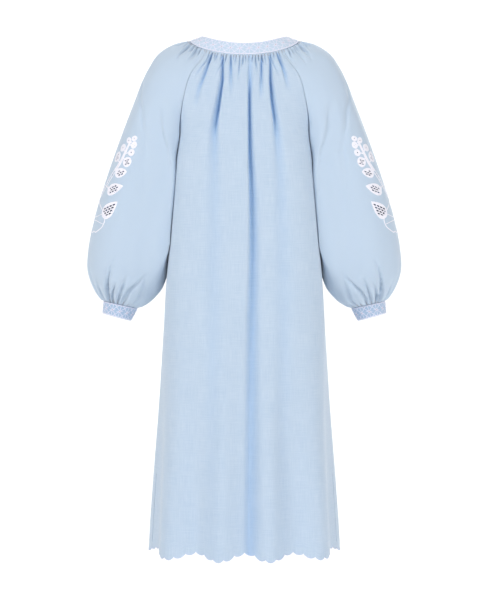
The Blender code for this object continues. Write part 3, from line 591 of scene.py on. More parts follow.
SleeveFold = namedtuple("SleeveFold", "path depth left right")
SLEEVE_FOLDS = {
    "back": [
        SleeveFold([(0.1, 0.02), (0.154, 0.13), (0.206, 0.385), (0.264, 0.465), (0.33, 0.455), (0.42, 0.5)],
                   [(0.09, 0.0), (0.15, 0.003), (0.23, 0.0036), (0.33, 0.002), (0.44, 0.0)], 0.006, 0.01),
        SleeveFold([(0.56, 0.37), (0.596, 0.347), (0.645, 0.31), (0.669, 0.297), (0.675, 0.295)],
                   [(0.56, 0.0), (0.6, 0.007), (0.64, 0.013), (0.662, 0.01), (0.675, 0.002)], 0.0026, 0.0056),
        SleeveFold([(0.622, 0.41), (0.656, 0.364), (0.675, 0.381)],
                   [(0.614, 0.0), (0.642, 0.009), (0.662, 0.009), (0.675, 0.002)], 0.0024, 0.004),
        SleeveFold([(0.61, 0.49), (0.64, 0.466), (0.675, 0.45)],
                   [(0.6, 0.0), (0.634, 0.0085), (0.658, 0.0085), (0.675, 0.002)], 0.0026, 0.005),
        SleeveFold([(0.606, 0.62), (0.64, 0.535), (0.656, 0.515), (0.675, 0.53)],
                   [(0.596, 0.0), (0.632, 0.0095), (0.656, 0.01), (0.675, 0.002)], 0.0026, 0.006),
        SleeveFold([(0.6, 0.64), (0.675, 0.715)],
                   [(0.59, 0.0), (0.645, 0.007), (0.675, 0.001)], 0.003, 0.007),
        SleeveFold([(0.62, 0.205), (0.675, 0.19)],
                   [(0.61, 0.0), (0.652, 0.0075), (0.675, 0.001)], 0.0028, 0.004),
        SleeveFold([(0.56, 0.1), (0.675, 0.11)],
                   [(0.55, 0.0), (0.64, 0.0065), (0.675, 0.001)], 0.0034, 0.0056),
    ],
    "front": [
        SleeveFold([(0.12, 0.1), (0.21, 0.33), (0.3, 0.42), (0.42, 0.45)],
                   [(0.1, 0.0), (0.17, 0.003), (0.26, 0.0034), (0.44, 0.0)], 0.006, 0.01),
        SleeveFold([(0.59, 0.33), (0.675, 0.29)],
                   [(0.58, 0.0), (0.62, 0.008), (0.655, 0.011), (0.675, 0.002)], 0.0028, 0.0056),
        SleeveFold([(0.615, 0.48), (0.675, 0.44)],
                   [(0.61, 0.0), (0.645, 0.009), (0.675, 0.002)], 0.0026, 0.005),
        SleeveFold([(0.6, 0.64), (0.675, 0.61)],
                   [(0.595, 0.0), (0.645, 0.0095), (0.675, 0.002)], 0.0028, 0.0058),
        SleeveFold([(0.62, 0.14), (0.675, 0.15)],
                   [(0.61, 0.0), (0.65, 0.0065), (0.675, 0.001)], 0.0028, 0.0046),
    ],
}


def sleeve_grooves(side, face):
    seed = {"left": 20, "right": 30}[side] + {"back": 1, "front": 2}[face]
    neck = grooves(9, seed, (0.032, 0.055), 0.0080, 0.00165, 0.0042, 3, (0.055, 0.080))
    cuff = grooves(12, seed + 4, (0.016, 0.034), 0.0046, 0.00130, 0.0030, 4, (0.038, 0.055))
    return neck, cuff


def sleeve_height(side, face, along, run, out, gathers):
    """Height of the fine cloth over the plain sleeve surface, and the painted shade in its folds and gathers.
    """
    neck, cuff = gathers
    fan = 0.42 * (1 - neck.place) * np.minimum(1.0, neck.place / 0.12) * min(along / 0.053, 1.6)
    fan = fan * (1 if face == "back" else 0.6)
    height, within = np.zeros_like(out), np.zeros_like(out)
    if along < 0.10:
        height, within = groove_height(neck, out, along, run, shift=fan)
    if CROWN_RUN[-1] - along < 0.07:
        height, within = groove_height(cuff, out, CROWN_RUN[-1] - along, run)
    for fold in SLEEVE_FOLDS[face]:
        middle = np.interp(along, *zip(*fold.path))
        deep = np.interp(along, *zip(*fold.depth), left=0.0, right=0.0)
        off = (out - middle) * run
        width = np.where(off < 0, fold.left, fold.right)
        shape = np.exp(-((off / width) ** 2))
        height = height - deep * shape
        # Painted shade in this fold's hollow, added to that of the gathers
        within = 1 - (1 - within) * (1 - shape * (1 - math.exp(-deep / (fold.left + fold.right) / FOLD_PAINTED_SHADE_SPREAD)))
    calm = ease(out * run / 0.008) * ease((1 - out) * run / 0.010)
    waves = soft_waves(out, along, 40 + len(side), run) * ease(along / 0.08)
    waves = waves * ease(((1 - out) * run - 0.015) / 0.060)
    seam = SEAM_DIP * np.exp(-(((1 - out) * run / SEAM_DIP_HALF) ** 2))
    return calm * (height + waves) - seam, calm * within


# Building with arrays


def steps_of(starts):
    """Places down a panel: each stretch starts at a place and has a number of rows."""
    pairs = zip(starts, starts[1:])
    spans = [np.linspace(low, high, count, endpoint=False) for (low, count), (high, _) in pairs]
    return np.concatenate(spans + [[starts[-1][0]]])


def link(made):
    bpy.context.scene.collection.objects.link(made)
    return made


def mesh_object(name, vertices, faces, material, attributes=None):
    """A smooth object with named point attributes."""
    mesh = bpy.data.meshes.new(name)
    mesh.from_pydata(np.asarray(vertices, float).tolist(), [], [list(map(int, f)) for f in faces])
    for key, values in (attributes or {}).items():
        values = np.asarray(values, np.float32)
        layer = mesh.attributes.new(key, "FLOAT_VECTOR", "POINT")
        layer.data.foreach_set("vector", values.reshape(-1))
    mesh.materials.append(material)
    mesh.shade_smooth()
    mesh.set_sharp_from_angle(angle=math.radians(60))
    return link(bpy.data.objects.new(name, mesh))


def shell_faces(rows, columns, flip):
    """Faces of a closed thin shell: an outer grid, an inner grid after it, and its four edges."""
    count = rows * columns
    index = np.arange(count).reshape(rows, columns)
    a, b = index[:-1, :-1].ravel(), index[:-1, 1:].ravel()
    c, d = index[1:, 1:].ravel(), index[1:, :-1].ravel()
    outer = np.stack([a, b, c, d], axis=1)
    inner = outer[:, ::-1] + count
    edge = np.concatenate([index[0, :], index[1:, -1], index[-1, -2::-1], index[-2:0:-1, 0]])
    after = np.roll(edge, -1)
    rim = np.stack([edge, edge + count, after + count, after], axis=1)
    faces = np.concatenate([outer, inner, rim])
    return faces[:, ::-1] if flip else faces


def tube_faces(rows, around, closed):
    """Faces between rows of points that each run round a ring, and back to the first row if closed."""
    faces = []
    for k in range(rows if closed else rows - 1):
        after = (k + 1) % rows
        for j in range(around):
            beside = (j + 1) % around
            faces.append((k * around + j, k * around + beside, after * around + beside, after * around + j))
    return faces


class Cloth:
    """A fine grid of one panel, read at any place for what is sewn on it."""

    def __init__(self, points, normals, runs, lengths):
        self.points, self.normals, self.runs, self.lengths = points, normals, runs, lengths

    def at(self, along, across):
        """A point of the cloth at a distance down the crown and out from it, and its normal."""
        return self.read(across / float(np.interp(along, self.runs, self.lengths)), along)

    def read(self, share, distance):
        """A point of the cloth at a share across it and a distance down it, and its normal."""
        i = float(np.interp(distance, self.runs, np.arange(len(self.runs))))
        j = min(max(share, 0.0), 1.0) * (self.points.shape[1] - 1)
        i0, j0 = min(int(i), self.points.shape[0] - 2), min(int(j), self.points.shape[1] - 2)
        fi, fj = i - i0, j - j0
        found = []
        for table in (self.points, self.normals):
            low = table[i0, j0] * (1 - fj) + table[i0, j0 + 1] * fj
            high = table[i0 + 1, j0] * (1 - fj) + table[i0 + 1, j0 + 1] * fj
            found.append(low * (1 - fi) + high * fi)
        return found[0], unit(found[1])

    def read_up(self, share, distance):
        """The same, at a distance up from the cloth's last row."""
        return self.read(share, self.runs[-1] - distance)


def surface_normals(points, flip):
    """Normals of a finished grid."""
    down = np.gradient(points, axis=0)
    over = np.gradient(points, axis=1)
    made = unit(np.cross(over, down))
    return -made if flip else made


def inset_places(places, length):
    """Places along a row that leave half a seam's gap at both ends."""
    places = np.array(places, float)
    inset = (places[-1] - places[0]) * SEAM_GAP / 2 / length
    places[0] += inset
    places[-1] -= inset
    return places


def as_band(normals, turns, share):
    """Normals that pass from the neckband's own to a panel's."""
    at_band = np.array([neck_normal(t) for t in turns])
    return unit(at_band + (normals - at_band) * ease(share))


def body_cloth(face, material):
    """The fine back or front panel, from the neckband to the rounded scallops of the hem."""
    surface = partial(body_row, face)
    rows, weave, lengths, folds = [], [], [], []
    columns = np.linspace(-1, 1, PANEL_COLUMNS + 1)
    distances = steps_of(BODY_STEPS)
    for distance in distances:
        level = body_level(distance)
        half = length_of(body_line(face, level))
        across = inset_places(columns, 2 * half)
        normals = normals_of(surface, level, across, -1.0, 1.0, SIGN[face])
        normals = level_ends(normals, level >= 1.0, level >= 1.0)
        points = surface(level, across)
        if level < BODY_BLEND:
            turns = np.arcsin(np.clip(points[:, 0] / NECK_LOWER.half_width, -1, 1))
            normals = as_band(normals, turns if face == "back" else math.pi - turns, level / BODY_BLEND)
        height, within = body_height(face, distance, half, across, points[:, 0])
        points = points + normals * height[:, None]
        low = ease((distance - HEM_SHAPE_FROM) / (BODY_STEPS[-1][0] - HEM_SHAPE_FROM))
        points[:, 2] -= low * HEM_WAVE_DROP * hem_wave(face, across)
        share = (across + 1) / 2 * HEM_SCALLOPS
        points[:, 2] -= low * SCALLOP_DROP * np.abs(np.sin(math.pi * share)) ** 0.75
        rows.append(points)
        flat = across * max(half * 1.06, 0.215)
        weave.append(np.stack([flat, np.full(len(across), distance), np.zeros(len(across))], axis=1))
        # Painted shade of this row's folds and gathers
        folds.append(within)
        lengths.append(2 * half)
    points = np.array(rows)
    normals = surface_normals(points, face == "back")
    normals = np.where(normals[..., 1:2] * SIGN[face] < -0.5, -normals, normals)
    made = shell(f"{face}_panel_cloth", points, normals, np.array(weave), material, np.array(folds))
    return made, Cloth(points, normals, distances, lengths)


def shell(name, points, normals, weave, material, folds):
    """A closed thin shell from a grid of outer points."""
    rows, columns = points.shape[:2]
    inner = points - normals * THIN
    vertices = np.concatenate([points.reshape(-1, 3), inner.reshape(-1, 3)])
    turn = np.cross(points[0, 1] - points[0, 0], points[1, 1] - points[0, 0])
    flip = float(np.dot(turn, normals[0, 0])) < 0
    folds = np.repeat(folds.reshape(-1, 1), 3, axis=1)
    # The fold attribute holds the painted shade of folds and gathers, which darkens the linen's colour there
    attributes = {"weave": np.concatenate([weave.reshape(-1, 3)] * 2), "fold": np.concatenate([folds] * 2)}
    return mesh_object(name, vertices, shell_faces(rows, columns, flip), material, attributes)


def sleeve_cloth(side, face, material):
    """A fine half sleeve, on its own side of the dress."""
    surface = partial(sleeve_row, face)
    gathers = sleeve_grooves(side, face)
    rows, weave, lengths, folds = [], [], [], []
    columns = np.linspace(0, 1, HALF_COLUMNS + 1)
    runs = steps_of(SLEEVE_STEPS)
    for along in runs:
        level = sleeve_level(along)
        run = length_of(sleeve_line(face, level))
        out = inset_places(columns, run)
        normals = normals_of(surface, level, out, 0.0, 1.0, -SIGN[face])
        points = surface(level, out)
        if level < SLEEVE_BLEND:
            reach = getattr(NECK_LOWER, face)
            turns = [math.atan2(p[0] / NECK_LOWER.half_width, -p[1] / reach) for p in points]
            normals = as_band(normals, turns, level / SLEEVE_BLEND)
        if level > CUFF_BLEND:
            radial = unit(points - cuff_centre())
            normals = unit(normals + (radial - normals) * ease((level - CUFF_BLEND) / (2 - CUFF_BLEND)))
        normals = level_ends(normals, True, level >= 1.0)
        height, within = sleeve_height(side, face, along, run, out, gathers)
        rows.append(points + normals * height[:, None])
        # Painted shade of this row's folds and gathers
        folds.append(within)
        flat = out * max(run * 1.04, 0.19)
        weave.append(np.stack([flat, np.full(len(out), along), np.ones(len(out))], axis=1))
        lengths.append(run)
    points = np.array(rows)
    normals = surface_normals(points, face == "front")
    if side == "left":
        points, normals = points * TO_LEFT, normals * TO_LEFT
    made = shell(f"sleeve_{side}_{face}_cloth", points, normals, np.array(weave), material, np.array(folds))
    return made, Cloth(points, normals, runs, lengths)


# Threads: raised ribbons, knots and pads, heaped into one mesh for each piece of work


class Heap:
    """Vertices, faces and thread runs gathered from many small pieces."""

    def __init__(self):
        self.vertices, self.faces, self.run = [], [], []

    def add(self, vertices, faces, run):
        start = len(self.vertices)
        self.vertices.extend(vertices)
        self.faces.extend(tuple(start + k for k in f) for f in faces)
        self.run.extend(run)

    def ribbon(self, line, half, height, closed=False, sink=0.00025):
        """A rounded raised ribbon along a line of points with their normals. Its half width may change."""
        points, normals = (np.array(values, float) for values in zip(*line))
        n = len(points)
        half = np.broadcast_to(np.asarray(half, float), (n,))
        ahead = np.roll(points, -1, 0) - np.roll(points, 1, 0) if closed else np.gradient(points, axis=0)
        side = unit(np.cross(normals, ahead))
        section = [(-1.0, -sink), (-0.72, 0.70), (0.0, 1.0), (0.72, 0.70), (1.0, -sink)]
        run = runs_along(points)
        vertices, runs = [], []
        for k in range(n):
            for x, z in section:
                lift = height * z if z > 0 else z
                vertices.append(points[k] + side[k] * half[k] * x + normals[k] * lift)
                runs.append((run[k], x * half[k], 0.0))
        m = len(section)
        faces = tube_faces(n, m, closed)
        if not closed:
            faces.append(tuple(range(m))[::-1])
            faces.append(tuple((n - 1) * m + j for j in range(m)))
        self.add(vertices, faces, runs)

    def knot(self, point, normal, radius, height):
        """A small domed knot."""
        side = unit(np.cross(normal, [0.3, 0.2, 0.93]))
        other = np.cross(normal, side)
        vertices, runs = [], []
        for spread, lift in ((1.0, -0.4), (0.92, 0.35), (0.55, 0.85)):
            for k in range(8):
                a = math.pi * k / 4
                out = side * math.cos(a) + other * math.sin(a)
                vertices.append(point + radius * spread * out + normal * height * lift)
                runs.append((a * radius, spread * radius, 1.0))
        vertices.append(point + normal * height)
        runs.append((0.0, 0.0, 1.0))
        faces = tube_faces(3, 8, False)
        faces += [(16 + k, 16 + (k + 1) % 8, 24) for k in range(8)]
        faces.append(tuple(range(8))[::-1])
        self.add(vertices, faces, runs)

    def object(self, name, material):
        return mesh_object(name, self.vertices, self.faces, material, {"thread": self.run})


def inside(loop, x, y):
    """Whether a place is inside a closed loop."""
    found = False
    for k in range(len(loop)):
        (x0, y0), (x1, y1) = loop[k - 1], loop[k]
        if (y0 > y) != (y1 > y) and x < (x1 - x0) * (y - y0) / (y1 - y0) + x0:
            found = not found
    return found


def covered(loops, x, y):
    """Whether a place is inside the first loop and in none of its holes."""
    return inside(loops[0], x, y) and not any(inside(hole, x, y) for hole in loops[1:])


def pad(heap, cloth, outline, holes, height):
    """A flat raised pad of stitches on the cloth inside an outline, open at its holes."""
    loops = [outline] + holes
    coords, edges = [], []
    for loop in loops:
        start = len(coords)
        coords += [Vector(p) for p in loop]
        edges += [(start + k, start + (k + 1) % len(loop)) for k in range(len(loop))]
    lows, highs = np.min(outline, axis=0), np.max(outline, axis=0)
    for a in np.arange(lows[0], highs[0], PAD_GRID):
        for b in np.arange(lows[1], highs[1], PAD_GRID):
            if covered(loops, a, b):
                coords.append(Vector((a, b)))
    made = delaunay_2d_cdt(coords, edges, [], 0, 1e-7)
    places, triangles = made[0], made[2]
    kept = []
    for tri in triangles:
        x = sum(places[k][0] for k in tri) / len(tri)
        y = sum(places[k][1] for k in tri) / len(tri)
        if covered(loops, x, y):
            kept.append(tuple(tri))
    used = sorted({k for tri in kept for k in tri})
    index = {k: n for n, k in enumerate(used)}
    top, low, runs = [], [], []
    for k in used:
        point, normal = cloth.at(places[k][0], places[k][1])
        top.append(point + normal * height)
        low.append(point - normal * PAD_SINK)
        runs.append((places[k][0], places[k][1], 2.0))
    count = len(used)
    kept = [tuple(index[k] for k in tri) for tri in kept]
    faces = list(kept) + [tuple(k + count for k in tri[::-1]) for tri in kept]
    directed = {(tri[k], tri[(k + 1) % 3]) for tri in kept for k in range(3)}
    for a, b in directed:
        if (b, a) not in directed:
            faces.append((b, a, a + count, b + count))
    heap.add(top + low, faces, runs + runs)


# Cutwork and embroidery of a sleeve, drawn about the crown line: metres down it and out from it

Leaf = namedtuple("Leaf", "along across length width lean point inner_line gap")
LEAVES = [
    Leaf(0.3311, 0.0480, 0.0250, 0.0240, 60, 0.10, 0, 0.82),
    Leaf(0.3400, 0.0870, 0.0230, 0.0205, 20, 0.10, 0, 0.76),
    Leaf(0.3672, 0.0795, 0.0295, 0.0235, 105, 0.25, 0, 0.84),
    Leaf(0.4051, 0.0765, 0.0430, 0.0300, 112, 0.45, 1, 0.88),
    Leaf(0.4525, 0.0800, 0.0475, 0.0410, 140, 0.55, 0, 1.00),
]
Bud = namedtuple("Bud", "along across length width lean hole")
BUDS = [
    Bud(0.2885, 0.0715, 0.0128, 0.0112, 60, 0.0034),
    Bud(0.2812, 0.0855, 0.0128, 0.0100, -60, 0.0030),
    Bud(0.2964, 0.0895, 0.0150, 0.0125, -10, 0.0000),
    Bud(0.3076, 0.0590, 0.0155, 0.0170, 20, 0.0036),
    Bud(0.3153, 0.0893, 0.0150, 0.0135, 0, 0.0040),
]
STEM = [(0.2950, 0.0765), (0.3080, 0.0740), (0.3200, 0.0720), (0.3431, 0.0680), (0.3640, 0.0590),
        (0.3830, 0.0480), (0.4000, 0.0360), (0.4140, 0.0230), (0.4265, 0.0100), (0.4330, 0.0000)]
STEM_HALF = [0.0016, 0.0022, 0.0028, 0.0034, 0.0040, 0.0046, 0.0052, 0.0058, 0.0058, 0.0050]
BRANCHES = [
    [(0.2965, 0.0760), (0.2905, 0.0730)],
    [(0.2965, 0.0765), (0.2900, 0.0810)],
    [(0.2990, 0.0760), (0.2975, 0.0835)],
    [(0.3180, 0.0725), (0.3110, 0.0650)],
    [(0.3210, 0.0725), (0.3170, 0.0820)],
    [(0.3440, 0.0670), (0.3390, 0.0560)],
    [(0.3300, 0.0720), (0.3350, 0.0770)],
    [(0.3560, 0.0640), (0.3620, 0.0690)],
    [(0.4000, 0.0370), (0.4045, 0.0560)],
]
FLOWER = [(0.4330, 0.0000), (0.4360, 0.0160), (0.4440, 0.0340), (0.4560, 0.0560), (0.4721, 0.0720),
          (0.4850, 0.0745), (0.4940, 0.0715), (0.5020, 0.0620), (0.5075, 0.0500), (0.5060, 0.0380),
          (0.5085, 0.0260), (0.5065, 0.0130), (0.5105, 0.0000)]
PETALS = [
    [(0.4735, 0.0000), (0.4715, 0.0350), (0.4640, 0.0660)],
    [(0.4800, 0.0000), (0.4810, 0.0350), (0.4880, 0.0720)],
]
STAR_PLACE = (0.4045, 0.0545)
STAR_SIZE = 0.0052
STEM_POINTS = 60
STEM_SOLID = 27
BAR_EVERY = 3
WIDE_BAR = 0.0011
FINE_BAR = 0.00062
BARS_FINE_FROM = 16
SLITS_FROM = 14
SLITS_TO = 50
GAP_LENGTH = 0.0074
GAP_WIDTH = 0.0043
GAP_PITCH = 0.0087
GAP_ROW = 0.0058
GAP_SLANT = 115
GAP_ROOM = 0.46
GAP_SEEN = 0.50
GAP_CUT = 0.54
LEAF_BORDER = 0.0020
INNER_INSET = 0.0036
FRONT_SHIFT = 0.012
PAD_HEIGHT = 0.00050
PAD_GRID = 0.0035
PAD_SINK = 0.0002
THIN_SINK = 0.0001
BUD_RISE = 0.0001

# Half widths and heights of the threads' lines

LEAF_EDGE = (0.00155, 0.00085)
INNER_LINE = (0.0006, PAD_HEIGHT + 0.0004)
GAP_EDGE = (0.00035, PAD_HEIGHT + 0.00022)
BUD_EDGE = (0.0015, 0.00095)
STEM_RAIL = (0.0011, 0.0008)
BRANCH = (0.0017, 0.0008)
PETAL_EDGE = (0.00135, 0.0008)
FINE_LINE = (0.0009, 0.0006)


def turned(u, v, lean, along, across):
    a = math.radians(lean)
    return along + u * math.cos(a) - v * math.sin(a), across + u * math.sin(a) + v * math.cos(a)


def leaf_outline(leaf, grow=0.0, count=44):
    """A leaf's outline: an oval that narrows to a point at one end."""
    made = []
    for t in np.linspace(0, 2 * math.pi, count, endpoint=False):
        u = (leaf.length / 2 + grow) * math.cos(t)
        narrow = (0.5 * (1 - math.cos(t))) ** leaf.point
        v = (leaf.width / 2 + grow) * math.sin(t) * narrow * (1 + 0.10 * leaf.point)
        made.append(turned(u, v, leaf.lean, leaf.along, leaf.across))
    return made


def oval(along, across, long_half, short_half, lean, square=2.0, count=12):
    """A rounded slot's outline."""
    made = []
    for t in np.linspace(0, 2 * math.pi, count, endpoint=False):
        c, s = math.cos(t), math.sin(t)
        u = long_half * math.copysign(abs(c) ** (2 / square), c)
        v = short_half * math.copysign(abs(s) ** (2 / square), s)
        made.append(turned(u, v, lean, along, across))
    return made


def leaf_gaps(leaf):
    """Centres of the gaps that have room inside a leaf's border."""
    within = leaf_outline(leaf, grow=-LEAF_BORDER * (1.7 if leaf.inner_line else 1.0))
    reach = int(leaf.length / GAP_ROW) + 3
    found = []
    for row in range(-reach, reach + 1):
        for column in range(-reach, reach + 1):
            u, v = (column + 0.5 * (row % 2)) * GAP_PITCH * leaf.gap, row * GAP_ROW * leaf.gap
            place = turned(u, v, GAP_SLANT, leaf.along, leaf.across)
            if all(inside(within, *edge) for edge in gap_edge(leaf, place, GAP_ROOM)):
                found.append(place)
    return found


def gap_edge(leaf, place, share):
    """The outline of one gap, by a share of its whole size."""
    size = share * leaf.gap
    return oval(*place, GAP_LENGTH * size, GAP_WIDTH * size, GAP_SLANT, 2.6)


def on_cloth(cloth, line):
    """Points with their normals of a line that is given along and across."""
    return [cloth.at(a, b) for a, b in line]


def smooth_line(knots, count):
    """A smooth line through a few places."""
    knots = np.asarray(knots, float)
    run = runs_along(knots)
    return [tuple(spline(run, knots, place)) for place in np.linspace(0, run[-1], count)]


def shifted(places, shift):
    return [(a + shift, b) for a, b in places]


def leaf_work(heap, cloth, leaf):
    """A leaf's pad with its gaps, its edge and its inner line. Returns the outlines to cut through."""
    gaps = leaf_gaps(leaf)
    holes = [gap_edge(leaf, place, GAP_SEEN) for place in gaps]
    outline = leaf_outline(leaf)
    pad(heap, cloth, outline, holes, PAD_HEIGHT)
    heap.ribbon(on_cloth(cloth, outline), *LEAF_EDGE, closed=True)
    if leaf.inner_line:
        heap.ribbon(on_cloth(cloth, leaf_outline(leaf, grow=-INNER_INSET)), *INNER_LINE, closed=True)
    for hole in holes:
        heap.ribbon(on_cloth(cloth, hole), *GAP_EDGE, closed=True, sink=0.0)
    return [gap_edge(leaf, place, GAP_CUT) for place in gaps]


def bud_work(heap, cloth, bud):
    """A berry or bud, with one eyelet that is cut through or with two small dents. Returns what is cut."""
    place = (bud.along, bud.across)
    outline = oval(*place, bud.length / 2, bud.width / 2, bud.lean, 2.0, 26)
    if bud.hole:
        holes = [oval(*place, bud.hole / 2, bud.hole * 0.36, bud.lean + 30, 2.0, 10)]
        cuts = [oval(*place, bud.hole * 0.54, bud.hole * 0.40, bud.lean + 30, 2.0, 10)]
    else:
        holes = [oval(*turned(u, 0.0, 70, *place), 0.0012, 0.0007, 115, 2.0, 8) for u in (-0.0026, 0.0026)]
        cuts = []
    pad(heap, cloth, outline, holes, PAD_HEIGHT + BUD_RISE)
    heap.ribbon(on_cloth(cloth, outline), *BUD_EDGE, closed=True)
    return cuts


def stem_work(heap, cloth, shift):
    """The stem: two rails, a solid top, and bars with small slits between. Returns the slits."""
    stem = smooth_line(shifted(STEM, shift), STEM_POINTS)
    wide = np.interp(np.linspace(0, 1, STEM_POINTS), np.linspace(0, 1, len(STEM_HALF)), STEM_HALF)
    ahead = unit(np.gradient(np.array(stem), axis=0))
    beside = np.stack([-ahead[:, 1], ahead[:, 0]], axis=1)
    for off in (-wide, wide):
        rail = [(a + w * s[0], max(b + w * s[1], 0.0)) for (a, b), w, s in zip(stem, off, beside)]
        heap.ribbon(on_cloth(cloth, rail), *STEM_RAIL)
    heap.ribbon(on_cloth(cloth, stem[:STEM_SOLID]), wide[:STEM_SOLID] * 0.9, 0.0007)
    slits = []
    for k in range(2, STEM_POINTS - 2, BAR_EVERY):
        (a, b), w, s = stem[k], wide[k], beside[k]
        bar = [(a - f * w * s[0] + 0.0008 * f, max(b - f * w * s[1], 0.0)) for f in np.linspace(-1, 1, 5)]
        heap.ribbon(on_cloth(cloth, bar), FINE_BAR if k > BARS_FINE_FROM else WIDE_BAR, 0.0006)
        if SLITS_FROM < k < SLITS_TO and (k // BAR_EVERY) % 2:
            (a, b), w, s = stem[k + 1], wide[k + 1], beside[k + 1]
            slant = math.degrees(math.atan2(s[1], s[0]))
            slits.append(oval(a + 0.0003, b, min(w * 0.42, 0.0020), 0.0009, slant, 2.2, 8))
    return slits


def sleeve_work(side, face, cloth, thread):
    """The embroidery on a half sleeve, and the outlines of all that is cut through it."""
    heap, cuts = Heap(), []
    shift = FRONT_SHIFT if face == "front" else 0.0
    for leaf in LEAVES:
        cuts += leaf_work(heap, cloth, leaf._replace(along=leaf.along + shift))
    for bud in BUDS:
        cuts += bud_work(heap, cloth, bud._replace(along=bud.along + shift))
    cuts += stem_work(heap, cloth, shift)
    for branch in BRANCHES:
        heap.ribbon(on_cloth(cloth, smooth_line(shifted(branch, shift), 8)), *BRANCH)
    heap.ribbon(on_cloth(cloth, smooth_line(shifted(FLOWER, shift), 96)), *PETAL_EDGE)
    for petal in PETALS:
        heap.ribbon(on_cloth(cloth, smooth_line(shifted(petal, shift), 30)), *FINE_LINE)
    for k in range(6):
        tip = turned(STAR_SIZE, 0, 60 * k + 15, *STAR_PLACE)
        heap.ribbon(on_cloth(cloth, smooth_line(shifted([STAR_PLACE, tip], shift), 5)), *FINE_LINE)
    return heap.object(f"sleeve_{side}_{face}_embroidery", thread), cuts


def cut_through(shell_object, cloth, cuts):
    """Cuts outlines right through a fine shell."""
    vertices, faces = [], []
    for outline in cuts:
        a, b = np.mean(outline, axis=0)
        _, normal = cloth.at(a, b)
        start, n = len(vertices), len(outline)
        for reach in (0.004, -0.005):
            vertices += [cloth.at(p, q)[0] + normal * reach for p, q in outline]
        top, low = [start + k for k in range(n)], [start + n + k for k in range(n)]
        faces += [tuple(top), tuple(low[::-1])]
        faces += [(top[k], low[k], low[(k + 1) % n], top[(k + 1) % n]) for k in range(n)]
    first = np.array([vertices[k] for k in faces[0]])
    _, normal = cloth.at(*np.mean(cuts[0], axis=0))
    if np.dot(np.cross(first[1] - first[0], first[2] - first[1]), normal) < 0:
        faces = [f[::-1] for f in faces]
    mesh = bpy.data.meshes.new("cutter")
    mesh.from_pydata([tuple(v) for v in vertices], [], faces)
    cutter = link(bpy.data.objects.new("cutter", mesh))
    cut = shell_object.modifiers.new("cutwork", "BOOLEAN")
    cut.operation, cut.solver, cut.object = "DIFFERENCE", "EXACT", cutter
    apply_modifiers(shell_object)
    bpy.data.objects.remove(cutter)


def apply_modifiers(made):
    """Leaves an object with its modifiers' result as its mesh."""
    bpy.context.view_layer.update()
    graph = bpy.context.evaluated_depsgraph_get()
    result = bpy.data.meshes.new_from_object(made.evaluated_get(graph))
    made.modifiers.clear()
    made.data = result


# Bands: a soft doubled strip with a turned edge, lattice embroidery and knots

BAND_PROFILE = [(0.000, -0.0006), (0.006, 0.0001), (0.030, 0.0005), (0.120, 0.0006), (0.300, 0.0007),
                (0.500, 0.0007), (0.700, 0.0007), (0.880, 0.0006), (0.965, 0.0004), (0.992, -0.0001),
                (1.000, -0.0010), (0.985, -0.0020), (0.900, -0.0022), (0.500, -0.0022), (0.100, -0.0022),
                (0.010, -0.0020)]
BAND_PUFF = 0.00009
BAND_LIFT = 0.0007
BAND_FALL = 0.0003
NECK_PITCH = 0.0205
CUFF_PITCH = 0.0170
BAND_THREAD = (0.00062, 0.00034)
BAND_EDGE_HEIGHT = 0.0003
BIG_KNOT = (0.00125, 0.00085)
SMALL_KNOT = (0.0006, 0.0004)


class Band:
    """A ring between two edges, read by the share round it and the share up it."""

    def __init__(self, low, high, normals, seed):
        self.low, self.high, self.normals = low, high, normals
        rng = np.random.default_rng(seed)
        k = np.arange(len(low)) / len(low) * 2 * math.pi
        self.puff = sum(np.sin(k * n + rng.uniform(0, 6.28)) for n in (9, 17, 23)) * BAND_PUFF
        middle = (low + high) / 2
        steps = np.linalg.norm(np.roll(middle, -1, 0) - middle, axis=1)
        self.round = float(steps.sum())
        self.shares = np.concatenate([[0.0], np.cumsum(steps)]) / self.round
        self.tall = float(np.linalg.norm(high - low, axis=1).mean())

    def at(self, share, up):
        """A point over the band, and its normal. Shares round it are of its length."""
        share = share % 1.0
        i = float(np.interp(share, self.shares, np.arange(len(self.low) + 1)))
        i0 = int(i) % len(self.low)
        i1, f = (i0 + 1) % len(self.low), i - int(i)
        low, high, normal = (t[i0] * (1 - f) + t[i1] * f for t in (self.low, self.high, self.normals))
        normal = unit(normal)
        lift = BAND_LIFT - BAND_FALL * (2 * up - 1) ** 6 + self.puff[i0] * (1 - f) + self.puff[i1] * f
        return low + (high - low) * up + normal * lift, normal


def band_cloth(name, band, material):
    """The band's doubled cloth as one closed ring."""
    n, m = len(band.low), len(BAND_PROFILE)
    vertices, weave = [], []
    for up, off in BAND_PROFILE:
        puff = band.puff * (1.0 if 0.02 < up < 0.98 and off > 0 else 0.0)
        vertices.append(band.low + (band.high - band.low) * up + band.normals * (off + puff)[:, None])
        flat = np.stack([band.shares[:-1] * band.round, np.full(n, up * band.tall), np.full(n, 2.0)], axis=1)
        weave.append(flat)
    faces = tube_faces(m, n, True)
    points = np.concatenate(vertices)
    facing = np.cross(points[1] - points[0], points[n] - points[0])
    if np.dot(facing, band.normals[0]) < 0:
        faces = [f[::-1] for f in faces]
    return mesh_object(name, points, faces, material, {"weave": np.concatenate(weave)})


